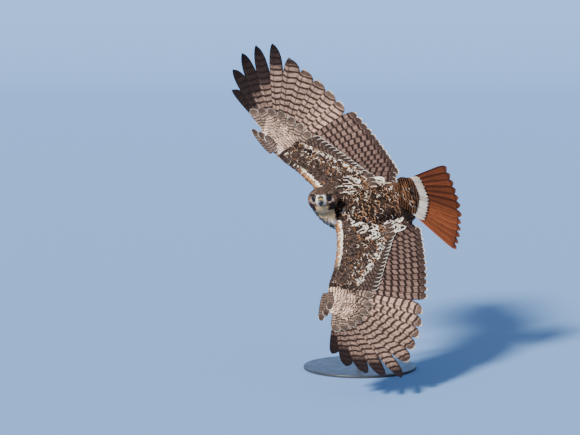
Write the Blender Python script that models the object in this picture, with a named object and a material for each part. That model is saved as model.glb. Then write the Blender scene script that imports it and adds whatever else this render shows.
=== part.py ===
"""A red-tailed hawk in a banked turn, life size, held on a plain display stand.

The bird is modelled in its own frame: +X to the bill, +Y to the bird's left, +Z out of its back, with the
origin between the shoulders. One empty carries that frame, so bank, pitch and heading are set in one place.
Each wing starts as a flat plan (outward, forward) that is bent upward along the hand and then posed.
"""
import math

import bmesh
import bpy
import numpy as np
from mathutils import Euler, Matrix, Vector

GAP = 0.0003                     # between nodes that meet face to face
WELD = 0.000001                  # points closer than this are one
TAU = 2.0 * math.pi

# Pose of the whole bird over the stand
SHOULDERS_AT = (-0.020, -0.025, 0.480)
BANK, PITCH, HEADING = -53.2, 13.9, -167.6

# Stand
BASE_RADIUS = 0.170
BASE_THICKNESS = 0.008
BASE_BEVEL = 0.0020
BASE_SIDES = 36
ROD_RADIUS = 0.007
ROD_TOP = 0.455

# Trunk: station along X, half width, height of the back, depth of the belly
TRUNK = (
    (0.060, 0.034, 0.020, -0.040),
    (0.045, 0.045, 0.028, -0.058),
    (0.020, 0.055, 0.033, -0.074),
    (-0.010, 0.059, 0.035, -0.081),
    (-0.045, 0.058, 0.035, -0.078),
    (-0.080, 0.055, 0.034, -0.069),
    (-0.110, 0.053, 0.034, -0.056),
    (-0.135, 0.052, 0.034, -0.042),
    (-0.152, 0.050, 0.034, -0.030),
)
TRUNK_SIDES = 24

# Head: its own frame is +X to the bill, +Y to its left, +Z to the crown
HEAD_AT = (0.090, -0.034, 0.072)
HEAD_ROLL, HEAD_PITCH, HEAD_TURN = 20.0, -52.0, 53.1
HEAD = (
    (-0.044, 0.014, 0.013, -0.014),
    (-0.038, 0.028, 0.023, -0.028),
    (-0.023, 0.040, 0.033, -0.037),
    (-0.006, 0.0445, 0.0355, -0.040),
    (0.008, 0.0405, 0.0335, -0.0375),
    (0.0180, 0.0310, 0.0275, -0.0310),
    (0.0265, 0.0195, 0.0195, -0.0225),
    (0.0330, 0.0115, 0.0120, -0.0140),
)
EYE_AT = (0.0185, 0.0195, 0.0060)
EYE_RADIUS = 0.0105
BILL_BASE_X = 0.034
CERE_LENGTH = 0.0075
BILL_TIP = (0.0490, 0.0, -0.0155)
# Rings of the hooked upper bill: forward, height, radius and how far each has turned down
BILL_HOOK = ((0.0462, -0.0010, 0.0056, 20.0), (0.0496, -0.0045, 0.0044, 45.0),
             (0.0510, -0.0090, 0.0032, 75.0), (0.0500, -0.0135, 0.0018, 100.0))
NOSTRIL_AT = (0.0382, 0.0072, 0.0022)
NOSTRIL_RADIUS = 0.0013

# Wing plan, outward and forward of the shoulder
SHOULDER_Y = 0.035
WING_Z = 0.004
WRIST = (0.214, 0.131)
ELBOW = (0.095, -0.014)
HAND_LENGTH, HAND_ANGLE = 0.081, 23.4
WRIST_CUT_ANGLE = -58.0

# How the outer wing rises, measured along a line turned forward of straight out
BEND_LINE = 33.6
HAND_RISE, HAND_RISE_FROM, HAND_RISE_TO = 10.8, 0.234, 0.339
TIP_CURL, TIP_CURL_FROM, TIP_CURL_OVER = 61.9, 0.496, 0.120

# Sweep, dihedral and incidence of each wing in degrees
WING_POSE = {"right": (-2.8, -5.8, 3.4), "left": (1.1, 6.5, 6.7)}

# Flight feathers, from the wrist outward for the primaries and inward for the secondaries
PRIMARY_LENGTHS = (0.259, 0.269, 0.279, 0.292, 0.311, 0.346, 0.329, 0.301, 0.252, 0.189)
PRIMARY_FIRST_ANGLE, PRIMARY_LAST_ANGLE, PRIMARY_SPREAD_POWER = -53.5, 27.1, 0.957
FINGERS_FROM = 6
PRIMARY_ODD_WIDTHS = {1: (0.016, 0.032), 2: (0.015, 0.040), 10: (0.008, 0.029)}
SECONDARIES = 12
FIRST_SECONDARY_SHARE = 0.07
SECONDARY_LENGTHS = (0.264, 0.165)
SECONDARY_ANGLES = (-61.6, -96.0)
TERTIAL_ROOTS = ((0.080, -0.018), (0.062, -0.020), (0.046, -0.022))
TERTIAL_ANGLE, TERTIAL_LENGTH = -97.0, 0.150
FEATHER_THICKNESS = 0.0007
TIP_THICKNESS = 0.0004
SHINGLE_TILT = 0.0016            # how far a vane's leading edge stands above its rachis
GREATER_COVERT_LIFT = 0.0045
MEDIAN_COVERT_LIFT = 0.0086

# Tail: its own frame is +X forward, +Y to the bird's left, +Z up
TAIL_AT = (-0.154, -0.004, 0.023)
TAIL_ROLL, TAIL_PITCH, TAIL_YAW = 3.0, -33.0, -15.5
TAIL_PAIRS = 6
TAIL_HALF_FAN = 30.5
TAIL_ROOT_HALF_SPREAD = 0.038
TAIL_LENGTHS = (0.223, 0.216)
TAIL_FEATHER_WIDTH = 0.038

# Legs, folded back under the belly
HIP = (-0.085, 0.034, -0.052)
HEEL = (-0.128, 0.030, -0.066)
FOOT = (-0.176, 0.024, -0.058)
SHANK_RADIUS = 0.0048
TOE_RADIUS = 0.0040
TALON_LENGTH = 0.026


def material(name, colour, roughness, metallic=0.0):
    """One Principled material."""
    made = bpy.data.materials.get(name) or bpy.data.materials.new(name)
    made.use_nodes = True
    shader = made.node_tree.nodes["Principled BSDF"]
    shader.inputs["Base Color"].default_value = (*colour, 1.0)
    shader.inputs["Roughness"].default_value = roughness
    shader.inputs["Metallic"].default_value = metallic
    return made


MATERIALS = {
    "brown_feather": ((0.100, 0.058, 0.038), 0.80, 0.0),
    "barred_feather": ((0.170, 0.110, 0.078), 0.75, 0.0),
    "red_feather": ((0.330, 0.085, 0.030), 0.75, 0.0),
    "pale_feather": ((0.520, 0.400, 0.280), 0.85, 0.0),
    "eye": ((0.020, 0.012, 0.008), 0.10, 0.0),
    "cere": ((0.650, 0.520, 0.100), 0.50, 0.0),
    "leg": ((0.620, 0.480, 0.120), 0.55, 0.0),
    "horn": ((0.022, 0.022, 0.026), 0.30, 0.0),
    "stand": ((0.030, 0.030, 0.032), 0.45, 0.0),
}


def clear_scene():
    """Take every object out of the scene."""
    for thing in list(bpy.data.objects):
        bpy.data.objects.remove(thing, do_unlink=True)


def new_object(name, points, faces):
    """An object from points and faces, with its faces turned outward."""
    mesh = bpy.data.meshes.new(name)
    mesh.from_pydata([tuple(map(float, p)) for p in points], [], [tuple(map(int, f)) for f in faces])
    shape = bmesh.new()
    shape.from_mesh(mesh)
    bmesh.ops.recalc_face_normals(shape, faces=shape.faces)
    shape.to_mesh(mesh)
    shape.free()
    thing = bpy.data.objects.new(name, mesh)
    bpy.context.scene.collection.objects.link(thing)
    return thing


def loft(name, rings):
    """A closed body through rings of equal count, capped at both ends, all in triangles."""
    rings = np.asarray(rings, float)
    count, sides = rings.shape[:2]
    points = rings.reshape(-1, 3)
    faces = []
    for i in range(count - 1):
        for j in range(sides):
            k = (j + 1) % sides
            a, b, c, d = i * sides + j, i * sides + k, (i + 1) * sides + k, (i + 1) * sides + j
            faces += [(a, b, c), (a, c, d)]
    first, last = len(points), len(points) + 1
    points = np.vstack([points, rings[0].mean(0), rings[-1].mean(0)])
    for j in range(sides):
        k = (j + 1) % sides
        faces.append((first, k, j))
        faces.append((last, (count - 1) * sides + j, (count - 1) * sides + k))
    return new_object(name, points, faces)


def evaluated_mesh(thing):
    """The mesh of an object with its modifiers applied."""
    graph = bpy.context.evaluated_depsgraph_get()
    return bpy.data.meshes.new_from_object(thing.evaluated_get(graph))


def keep_largest(mesh):
    """Drop every closed surface of a mesh but the one with the most area, and split faces to triangles."""
    shape = bmesh.new()
    shape.from_mesh(mesh)
    bmesh.ops.triangulate(shape, faces=shape.faces)
    unseen = set(shape.faces)
    groups = []
    while unseen:
        stack = [unseen.pop()]
        group = []
        while stack:
            face = stack.pop()
            group.append(face)
            for edge in face.edges:
                for other in edge.link_faces:
                    if other in unseen:
                        unseen.remove(other)
                        stack.append(other)
        groups.append(group)
    groups.sort(key=lambda g: sum(f.calc_area() for f in g))
    for group in groups[:-1]:
        bmesh.ops.delete(shape, geom=group, context="FACES")
    loose = [v for v in shape.verts if not v.link_faces]
    bmesh.ops.delete(shape, geom=loose, context="VERTS")
    shape.to_mesh(mesh)
    shape.free()


def is_closed(mesh):
    """True where every edge joins exactly two faces, also once points at one place are welded."""
    shape = bmesh.new()
    shape.from_mesh(mesh)
    bmesh.ops.remove_doubles(shape, verts=shape.verts, dist=WELD)
    closed = len(shape.faces) > 0 and all(edge.is_manifold for edge in shape.edges)
    shape.free()
    return closed


def boolean(thing, others, operation):
    """Apply one Boolean of a collection of objects to an object, and remove them."""
    group = bpy.data.collections.new("operands")
    bpy.context.scene.collection.children.link(group)
    for other in others:
        for owner in list(other.users_collection):
            owner.objects.unlink(other)
        group.objects.link(other)
    step = thing.modifiers.new(operation.lower(), "BOOLEAN")
    step.operation = operation
    step.operand_type = "COLLECTION"
    step.collection = group
    for solver in ("EXACT", "MANIFOLD"):
        step.solver = solver
        bpy.context.view_layer.update()
        mesh = evaluated_mesh(thing)
        if is_closed(mesh):
            break
    thing.modifiers.clear()
    thing.data = mesh
    for other in others:
        bpy.data.objects.remove(other, do_unlink=True)
    bpy.data.collections.remove(group)
    keep_largest(mesh)
    return thing


def grown(thing, amount=GAP):
    """A copy of a closed object, swollen along its normals, to cut a neighbour with."""
    mesh = thing.data.copy()
    normals = np.array([v.normal[:] for v in mesh.vertices])
    points = np.array([v.co[:] for v in mesh.vertices])
    mesh.vertices.foreach_set("co", (points + normals * amount).ravel())
    mesh.update()
    copy = bpy.data.objects.new(thing.name + "_grown", mesh)
    bpy.context.scene.collection.objects.link(copy)
    return copy


def finish(thing, slot, smooth=40.0):
    """Give an object its one material and smooth shading."""
    thing.data.materials.clear()
    thing.data.materials.append(material(slot, *MATERIALS[slot]))
    thing.data.shade_smooth()
    thing.data.set_sharp_from_angle(angle=math.radians(smooth))
    return thing


def smooth_stations(table, refine):
    """More stations through a table of sizes, by a cubic through its rows."""
    table = np.asarray(table, float)
    slopes = np.gradient(table, axis=0)
    rows = []
    for i in range(len(table) - 1):
        for t in np.arange(refine) / refine:
            rows.append(table[i] * (2 * t**3 - 3 * t**2 + 1) + slopes[i] * (t**3 - 2 * t**2 + t)
                        + table[i + 1] * (3 * t**2 - 2 * t**3) + slopes[i + 1] * (t**3 - t**2))
    rows.append(table[-1])
    return np.array(rows)


def oval(x, half_width, top, bottom, sides, shift=(0.0, 0.0)):
    """A ring in the plane of X: an ellipse above the axis and another below it."""
    turn = np.arange(sides) * TAU / sides
    y = half_width * np.cos(turn)
    z = np.where(np.sin(turn) >= 0.0, top, -bottom) * np.sin(turn)
    return np.stack([np.full(sides, x), y + shift[0], z + shift[1]], 1)


def placed(points, at, roll, pitch, yaw):
    """Points turned by roll, pitch and yaw in degrees, then moved."""
    turn = np.array(Euler([math.radians(v) for v in (roll, pitch, yaw)]).to_matrix())
    return np.asarray(points) @ turn.T + np.asarray(at)


def in_head(points):
    """Points of the head's own frame in the bird's frame."""
    return placed(points, HEAD_AT, HEAD_ROLL, HEAD_PITCH, HEAD_TURN)


def in_tail(points):
    """Points of the tail's own frame in the bird's frame."""
    return placed(points, TAIL_AT, TAIL_ROLL, TAIL_PITCH, TAIL_YAW)


def ball(name, centre, radii, rings=10, sides=16, turn=None):
    """An ellipsoid as a closed mesh; turn is a 3x3 array applied before it is moved."""
    lat = np.linspace(0.04, math.pi - 0.04, rings)
    loops = []
    for a in lat:
        t = np.arange(sides) * TAU / sides
        loop = np.stack([np.full(sides, math.cos(a)), math.sin(a) * np.cos(t), math.sin(a) * np.sin(t)], 1)
        loop = loop * np.asarray(radii)
        loops.append((loop @ turn.T if turn is not None else loop) + np.asarray(centre))
    return loft(name, loops)


def tube(name, path, radii, sides=12, flatten=1.0):
    """A round body along a path of points, with a radius at each."""
    path = np.asarray(path, float)
    along = np.gradient(path, axis=0)
    along /= np.linalg.norm(along, axis=1)[:, None]
    side = np.cross(along, (0.0, 0.0, 1.0))
    side /= np.linalg.norm(side, axis=1)[:, None]
    up = np.cross(side, along)
    t = np.arange(sides) * TAU / sides
    loops = [p + r * (np.cos(t)[:, None] * s + flatten * np.sin(t)[:, None] * u)
             for p, r, s, u in zip(path, radii, side, up)]
    return loft(name, loops)


# Wing surface
def bend_table():
    """How far out and how high a point lies after a given length along the bend line, and its slope."""
    length = np.linspace(-0.3, 0.8, 1101)
    rise = np.clip((length - HAND_RISE_FROM) / (HAND_RISE_TO - HAND_RISE_FROM), 0.0, 1.0)
    curl = np.clip((length - TIP_CURL_FROM) / TIP_CURL_OVER, 0.0, 2.0)
    slope = np.radians(HAND_RISE * rise * rise * (3 - 2 * rise) + TIP_CURL * curl**1.5)
    step = length[1] - length[0]
    out = length[0] + np.concatenate([[0.0], np.cumsum(np.cos(slope[:-1]) * step)])
    up = np.concatenate([[0.0], np.cumsum(np.sin(slope[:-1]) * step)])
    return length, out, up, slope


BEND = bend_table()


def wing_point(plan, height, side):
    """Points of the flat plan, raised by height off the wing's surface, in the bird's frame."""
    plan = np.asarray(plan, float)
    height = np.asarray(height, float)
    c, s = math.cos(math.radians(BEND_LINE)), math.sin(math.radians(BEND_LINE))
    along = plan[..., 0] * c + plan[..., 1] * s
    across = -plan[..., 0] * s + plan[..., 1] * c
    length, out_table, up_table, slope_table = BEND
    slope = np.interp(along, length, slope_table)
    far = np.interp(along, length, out_table) - height * np.sin(slope)
    up = np.interp(along, length, up_table) + height * np.cos(slope)
    out, forward = far * c - across * s, far * s + across * c
    sweep, dihedral, incidence = (math.radians(v) for v in WING_POSE[side])
    out, forward = (out * math.cos(sweep) - forward * math.sin(sweep),
                    out * math.sin(sweep) + forward * math.cos(sweep))
    out, up = (out * math.cos(dihedral) - up * math.sin(dihedral),
               out * math.sin(dihedral) + up * math.cos(dihedral))
    forward, up = (forward * math.cos(incidence) - up * math.sin(incidence),
                   forward * math.sin(incidence) + up * math.cos(incidence))
    hand = 1.0 if side == "left" else -1.0
    return np.stack([forward, hand * (SHOULDER_Y + out), WING_Z + up], -1)


def heading(angle):
    """Unit vector in the plan, at an angle in degrees forward of straight out."""
    return np.array([math.cos(math.radians(angle)), math.sin(math.radians(angle))])


# Outline of a vane: place along it, then its width as a share of the full width on each side
CONTOUR = ((0.0, 0.40), (0.16, 0.85), (0.45, 1.0), (0.82, 0.94), (0.95, 0.66), (1.0, 0.20))
FINGER = ((0.0, 0.40), (0.18, 0.92), (0.70, 1.0), (0.87, 0.86), (0.95, 0.54), (1.0, 0.08))
SHORT = ((0.0, 0.55), (0.45, 1.0), (0.86, 0.84), (1.0, 0.25))


def vane(name, root, angle, length, lead, trail, contour, place, lift=0.0, tilt=SHINGLE_TILT, curve=0.0):
    """One feather as a thin closed vane.

    It runs from root at an angle in its plan, and curve turns it toward its trailing side by so many
    degrees at the tip. lead and trail are its widths on either side of the rachis. place carries plan
    points and heights into the bird's frame. Both faces are split into triangles alike.
    """
    contour = np.asarray(contour)
    share, width = contour[:, 0], contour[:, 1]
    fine = np.linspace(0.0, 1.0, 61)
    course = np.radians(angle - curve * fine**2)
    step = length / 60.0
    run = np.stack([np.cos(course), np.sin(course)], 1)
    line = np.vstack([[0.0, 0.0], np.cumsum((run[1:] + run[:-1]) * 0.5 * step, axis=0)]) + np.asarray(root)
    middle = np.stack([np.interp(share, fine, line[:, k]) for k in (0, 1)], 1)
    turn = np.interp(share, fine, course)
    left = np.stack([-np.sin(turn), np.cos(turn)], 1)
    front = middle + left * (lead * width)[:, None]
    back = middle - left * (trail * width)[:, None]
    thick = FEATHER_THICKNESS + (TIP_THICKNESS - FEATHER_THICKNESS) * np.clip((share - 0.9) / 0.1, 0.0, 1.0)
    n = len(share)
    points = np.concatenate([
        place(front, lift + tilt + thick / 2), place(back, lift - tilt + thick / 2),
        place(front, lift + tilt - thick / 2), place(back, lift - tilt - thick / 2)])
    ft, bt, fb, bb = 0, n, 2 * n, 3 * n
    faces = []
    for i in range(n - 1):
        j = i + 1
        faces += [(ft + i, ft + j, bt + j), (ft + i, bt + j, bt + i)]
        faces += [(fb + i, bb + j, fb + j), (fb + i, bb + i, bb + j)]
        faces += [(ft + i, fb + i, fb + j), (ft + i, fb + j, ft + j)]
        faces += [(bt + i, bt + j, bb + j), (bt + i, bb + j, bb + i)]
    e = n - 1
    faces += [(ft, bt, bb), (ft, bb, fb), (ft + e, fb + e, bb + e), (ft + e, bb + e, bt + e)]
    return new_object(name, points, faces)


def primary_root(number):
    """Where primary 1 to 10 leaves the hand."""
    along = HAND_LENGTH * (number - 1) / 9.0
    return np.array(WRIST) + along * heading(HAND_ANGLE)


def primary_angle(number):
    """Angle of primary 1 to 10 in the plan."""
    share = ((10 - number) / 9.0) ** PRIMARY_SPREAD_POWER
    return PRIMARY_LAST_ANGLE + (PRIMARY_FIRST_ANGLE - PRIMARY_LAST_ANGLE) * share


def secondary_share(number):
    """How far secondary 1 to 12 sits from the wrist to the elbow, 0 to 1."""
    return FIRST_SECONDARY_SHARE + (1.0 - FIRST_SECONDARY_SHARE) * (number - 1) / (SECONDARIES - 1)


def secondary_root(number, ahead=0.0):
    """Where a secondary leaves the forearm, moved forward by ahead."""
    share = secondary_share(number)
    return np.array(WRIST) * (1 - share) + np.array(ELBOW) * share + np.array([-0.4, 0.9]) * ahead


def between(pair, share):
    """A value part way from the first of a pair to the second."""
    return pair[0] + (pair[1] - pair[0]) * share


# Section of the fleshy wing: place from its front to its back, height of its top, depth of its underside
WING_TOP = ((0.0, 0.0), (0.06, 0.0065), (0.20, 0.0110), (0.38, 0.0130), (0.55, 0.0120), (0.75, 0.0085),
            (0.90, 0.0052), (1.0, 0.0034))
WING_UNDER = ((1.0, -0.0030), (0.80, -0.0052), (0.50, -0.0078), (0.25, -0.0080), (0.06, -0.0048))

# Stations of the arm and hand: front and back in the plan, and a scale for their thickness
ARM_STATIONS = (
    ((-0.015, 0.070), (-0.015, -0.055), 1.35),
    ((0.030, 0.079), (0.030, -0.058), 1.25),
    ((0.072, 0.092), (0.085, -0.054), 1.10),
    ((0.112, 0.109), (0.135, -0.012), 1.0),
    ((0.147, 0.127), (0.172, 0.030), 0.95),
    ((0.176, 0.145), (0.205, 0.070), 0.90),
    ((0.1965, 0.1590), (0.2310, 0.1038), 0.85),
)
HAND_STATIONS = (
    ((0.1965, 0.1590), (0.2310, 0.1038), 0.85),
    ((0.232, 0.176), (0.264, 0.110), 0.85),
    ((0.262, 0.186), (0.300, 0.127), 0.80),
    ((0.288, 0.189), (0.322, 0.151), 0.65),
    ((0.306, 0.186), (0.330, 0.168), 0.45),
)


def wing_body(name, stations, side, shift=(0.0, 0.0)):
    """The fleshy part of a wing as a loft through its stations."""
    rings = []
    for index, (front, back, scale) in enumerate(stations):
        front, back = np.array(front), np.array(back)
        if index == 0:
            front, back = front + shift, back + shift
        section = np.array(WING_TOP + WING_UNDER)
        plan = front + section[:, :1] * (back - front)
        rings.append(wing_point(plan, section[:, 1] * scale, side))
    return loft(name, rings)


def wing_arm(side):
    """Forearm and upper arm with the secondaries, tertials and their coverts."""
    place = lambda plan, height: wing_point(plan, height, side)
    body = wing_body(f"wing_{side}_arm", ARM_STATIONS, side)
    pieces = []
    for number in range(1, SECONDARIES + 1):
        share = secondary_share(number)
        angle = between(SECONDARY_ANGLES, share)
        length = between(SECONDARY_LENGTHS, share)
        pieces.append(vane(f"secondary_{number}", secondary_root(number), angle, length,
                           0.019, 0.027, CONTOUR, place, curve=6.0))
        pieces.append(vane(f"greater_{number}", secondary_root(number, 0.004), angle - 2.0,
                           0.42 * length + 0.006, 0.014, 0.016, SHORT, place, lift=GREATER_COVERT_LIFT,
                           tilt=0.0014))
        if number % 3 == 2:
            pieces.append(vane(f"median_{number}", secondary_root(number, 0.016), angle - 4.0, 0.28 * length,
                               0.024, 0.024, SHORT, place, lift=MEDIAN_COVERT_LIFT, tilt=0.0012))
    for index, root in enumerate(TERTIAL_ROOTS):
        root = np.array(root)
        pieces.append(vane(f"tertial_{index}", root, TERTIAL_ANGLE, TERTIAL_LENGTH - 0.008 * index,
                           0.017, 0.021, CONTOUR, place, curve=3.0))
    beyond = grown(wing_body("beyond_wrist", HAND_STATIONS, side))
    bpy.data.objects.remove(bpy.data.objects["beyond_wrist"], do_unlink=True)
    boolean(body, pieces, "UNION")
    return boolean(body, [beyond], "DIFFERENCE")


def wing_hand(side):
    """The hand with its ten primaries and their coverts."""
    place = lambda plan, height: wing_point(plan, height, side)
    across = heading(WRIST_CUT_ANGLE + 90.0) * GAP
    body = wing_body(f"wing_{side}_hand", HAND_STATIONS, side, across)
    pieces = []
    for number in range(1, 11):
        finger = number >= FINGERS_FROM
        lead, trail = (0.010, 0.034) if finger else (0.015, 0.045)
        if number in PRIMARY_ODD_WIDTHS:
            lead, trail = PRIMARY_ODD_WIDTHS[number]
        root = primary_root(number) + across * 1.5
        angle = primary_angle(number)
        length = PRIMARY_LENGTHS[number - 1]
        pieces.append(vane(f"primary_{number}", root, angle, length, lead, trail,
                           FINGER if finger else CONTOUR, place, curve=4.0))
        covert_length = 0.100 + 0.015 * math.sin(math.pi * number / 11.0)
        pieces.append(vane(f"primary_covert_{number}", root, angle - 1.0, covert_length, 0.010, 0.013, SHORT,
                           place, lift=GREATER_COVERT_LIFT, tilt=0.0014))
        if number % 3 == 2:
            pieces.append(vane(f"median_primary_{number}", root - heading(angle) * 0.008, angle - 2.0, 0.062,
                               0.012, 0.015, SHORT, place, lift=MEDIAN_COVERT_LIFT, tilt=0.0012))
    before = grown(wing_body("before_wrist", ARM_STATIONS, side))
    bpy.data.objects.remove(bpy.data.objects["before_wrist"], do_unlink=True)
    boolean(body, pieces, "UNION")
    return boolean(body, [before], "DIFFERENCE")


ALULA_ROOT = (0.226, 0.178)
ALULA_FEATHERS = ((22.0, 0.100, 0.0), (19.0, 0.082, -0.007), (15.0, 0.060, -0.013))
ALULA_ANGLE = 18.0
ALULA_SPREAD = {"right": (0.0, 1.0), "left": (4.0, 1.16)}


def wing_alula(side, hand):
    """The thumb and its three feathers, lying along the front of the hand."""
    place = lambda plan, height: wing_point(plan, height, side)
    root = np.array(ALULA_ROOT)
    opened, stretch = ALULA_SPREAD[side]
    along = heading(ALULA_ANGLE + opened)
    aside = heading(ALULA_ANGLE + opened + 90.0)
    rings = []
    for step, width, thick in ((-0.010, 0.004, 0.003), (0.0, 0.009, 0.006), (0.018, 0.011, 0.006),
                               (0.034, 0.009, 0.004), (0.042, 0.004, 0.0025)):
        t = np.arange(8) * TAU / 8
        plan = root + along * step + np.outer(np.cos(t) * width, aside) - aside * 0.003
        rings.append(wing_point(plan, np.sin(t) * thick, side))
    thumb = loft(f"wing_{side}_alula", rings)
    pieces = []
    for index, (angle, length, aside_by) in enumerate(ALULA_FEATHERS):
        pieces.append(vane(f"alula_{index}", root + aside * (aside_by + 0.004), angle + opened,
                           length * stretch, 0.009, 0.013,
                           SHORT, place, lift=0.0014 * index, tilt=0.0006))
    boolean(thumb, pieces, "UNION")
    return boolean(thumb, [grown(hand)], "DIFFERENCE")


# Trunk, neck and head
def torso():
    """The feathered trunk, flat where the neck and the tail meet it."""
    rings = [oval(x, w, t, b, TRUNK_SIDES) for x, w, t, b in TRUNK]
    return loft("torso", rings)


def neck(head_solid):
    """The neck, curving up from the trunk to the back of the head."""
    x, width, top, bottom = TRUNK[0]
    start = oval(x + GAP, width, top, bottom, TRUNK_SIDES)
    end = np.array(in_head(oval(-0.006, 0.034, 0.025, -0.032, TRUNK_SIDES, shift=(0.0, -0.004))))
    matched = end[nearest_start(start, end)]
    lift = np.array([0.034, -0.004, 0.006])
    rings = []
    for t in np.linspace(0.0, 1.0, 7):
        bulge = 4 * t * (1 - t)
        ring = start * (1 - t) + matched * t + lift * bulge * 0.35
        middle = ring.mean(0)
        rings.append(middle + (ring - middle) * (1.0 + 0.16 * bulge))
    made = loft("neck", rings)
    return boolean(made, [grown(head_solid)], "DIFFERENCE")


def nearest_start(start, end):
    """Order of the end ring's points that twists the loft least."""
    count = len(start)
    best = None
    for way in (1, -1):
        for shift in range(count):
            order = (way * np.arange(count) + shift) % count
            cost = ((start - start.mean(0) - (end[order] - end.mean(0))) ** 2).sum()
            if best is None or cost < best[0]:
                best = (cost, order)
    return best[1]


def head(eyes):
    """The skull and its feathers, with a brow over each eye and the socket that the eye sits in."""
    rings = [in_head(oval(x, w, t, b, 18)) for x, w, t, b in smooth_stations(HEAD, 2)]
    made = loft("head", rings)
    turn = np.array(Euler([math.radians(v) for v in (HEAD_ROLL, HEAD_PITCH, HEAD_TURN)]).to_matrix())
    brows = []
    for side in (1.0, -1.0):
        lean = np.array(Euler((0.0, 0.10, -side * 0.80)).to_matrix())
        at = in_head([(EYE_AT[0] + 0.0035, side * (EYE_AT[1] + 0.0030), EYE_AT[2] + 0.0090)])[0]
        brows.append(ball("brow", at, (0.0130, 0.0048, 0.0030), 5, 8, turn @ lean))
    boolean(made, brows, "UNION")
    return boolean(made, [grown(eyeball) for eyeball in eyes], "DIFFERENCE")


def eye(side, name):
    """An eyeball."""
    at = in_head([(EYE_AT[0], side * EYE_AT[1], EYE_AT[2])])[0]
    return ball(name, at, [EYE_RADIUS] * 3, 7, 12)


def bill_parts():
    """The cere, the hooked upper bill and the lower bill with the line of the mouth between them."""
    def ring(x, width, top, bottom, lean=0.0):
        points = oval(0.0, width, top, bottom, 14)
        return in_head(np.stack([x + lean * points[:, 2], points[:, 1], points[:, 2]], 1))

    front = BILL_BASE_X + CERE_LENGTH
    cere = loft("cere", [ring(BILL_BASE_X - 0.008, 0.0088, 0.0080, -0.0045),
                         ring(BILL_BASE_X, 0.0080, 0.0076, -0.0045), ring(front, 0.0068, 0.0066, -0.0050)])
    rings = [ring(front + GAP, 0.0064, 0.0062, -0.0052)]
    for x, z, radius, pitch in BILL_HOOK:
        turn = math.radians(pitch)
        t = np.arange(14) * TAU / 14
        along = np.cos(t) * radius
        up = np.sin(t) * radius * 1.15
        rings.append(in_head(np.stack([x - 0.002 + up * math.sin(turn), along, z + up * math.cos(turn)], 1)))
    rings.append(in_head(np.stack([np.full(14, BILL_TIP[0] - 0.0015), 0.0004 * np.cos(t),
                                   BILL_TIP[2] + 0.0004 * np.sin(t)], 1)))
    upper = loft("bill_upper", rings)
    lower = loft("bill_lower", [
        in_head(oval(BILL_BASE_X - 0.008, 0.0070, 0.0034, -0.0034, 12, shift=(0.0, -0.0092))),
        in_head(oval(front, 0.0054, 0.0030, -0.0030, 12, shift=(0.0, -0.0090))),
        in_head(oval(0.0450, 0.0032, 0.0016, -0.0016, 12, shift=(0.0, -0.0090)))])
    boolean(lower, [grown(cere), grown(upper)], "DIFFERENCE")
    nostrils = [ball("nostril", in_head([(NOSTRIL_AT[0], side * NOSTRIL_AT[1], NOSTRIL_AT[2])])[0],
                     [NOSTRIL_RADIUS] * 3, 5, 8) for side in (1.0, -1.0)]
    boolean(cere, nostrils, "DIFFERENCE")
    return cere, upper, lower


# Tail
def tail():
    """The root of the tail with twelve feathers and the coverts above and below them."""
    x, width, top, bottom = TRUNK[-1]
    first = oval(x - GAP, width, top, bottom, TRUNK_SIDES)
    rings = [first]
    for back, half_width, up, down in ((0.030, 0.050, 0.014, -0.016), (0.056, 0.050, 0.0075, -0.0085)):
        rings.append(in_tail(oval(-back, half_width, up, down, TRUNK_SIDES)))
    body = loft("tail", rings)

    def place(plan, height):
        plan = np.asarray(plan)
        height = np.broadcast_to(height, plan.shape[:-1])
        return in_tail(np.stack([-plan[..., 1], plan[..., 0], height], -1))

    pieces = []
    spacing = 1.0 / (2 * TAIL_PAIRS - 1)
    for side in (1.0, -1.0):
        for pair in range(TAIL_PAIRS):
            share = (2 * pair + 1) * spacing
            root = (side * TAIL_ROOT_HALF_SPREAD * share, 0.012)
            angle = 90.0 - side * TAIL_HALF_FAN * share
            length = between(TAIL_LENGTHS, share) - 0.012
            tilt, lift = 0.0015, 0.0
            if pair == 0:
                tilt, lift = (0.0, 0.0022) if side > 0 else (0.0015, 0.0006)
            half = TAIL_FEATHER_WIDTH / 2
            outer, inner = half * (1.0 - 0.06 * pair), half * (1.0 + 0.04 * pair)
            lead, trail = (inner, outer) if side > 0 else (outer, inner)
            pieces.append(vane(f"rectrix_{side}_{pair}", root, angle, length, lead, trail, CONTOUR, place,
                               lift=lift, tilt=-side * tilt, curve=side * 3.0))
    for number in range(7):
        share = (number - 3) / 3.0
        root = (0.030 * share, 0.004)
        length = 0.084 - 0.014 * abs(share)
        pieces.append(vane(f"upper_covert_{number}", root, 90.0 - 24.0 * share, length, 0.011, 0.011, SHORT,
                           place, lift=0.0058 + 0.0016 * (number % 2), tilt=0.0))
    for number in range(7):
        share = (number - 3) / 3.0
        root = (0.028 * share, 0.004)
        length = 0.100 - 0.014 * abs(share)
        pieces.append(vane(f"under_covert_{number}", root, 90.0 - 22.0 * share, length, 0.012, 0.012, SHORT,
                           place, lift=-0.0054 - 0.0016 * (number % 2), tilt=0.0))
    return boolean(body, pieces, "UNION")


# Legs and feet
def on_side(point, side):
    """A point mirrored to the bird's left (1) or right (-1)."""
    return np.array([point[0], side * point[1], point[2]])


def thigh(side, name, trunk):
    """The feathered thigh, bulging from the belly."""
    hip, heel = on_side(HIP, side), on_side(HEEL, side)
    share = np.linspace(-0.55, 1.0, 8)
    path = [hip + (heel - hip) * t for t in share]
    radii = [0.006, 0.017, 0.023, 0.026, 0.025, 0.021, 0.014, 0.0085]
    return boolean(tube(name, path, radii, 12), [grown(trunk)], "DIFFERENCE")


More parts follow.
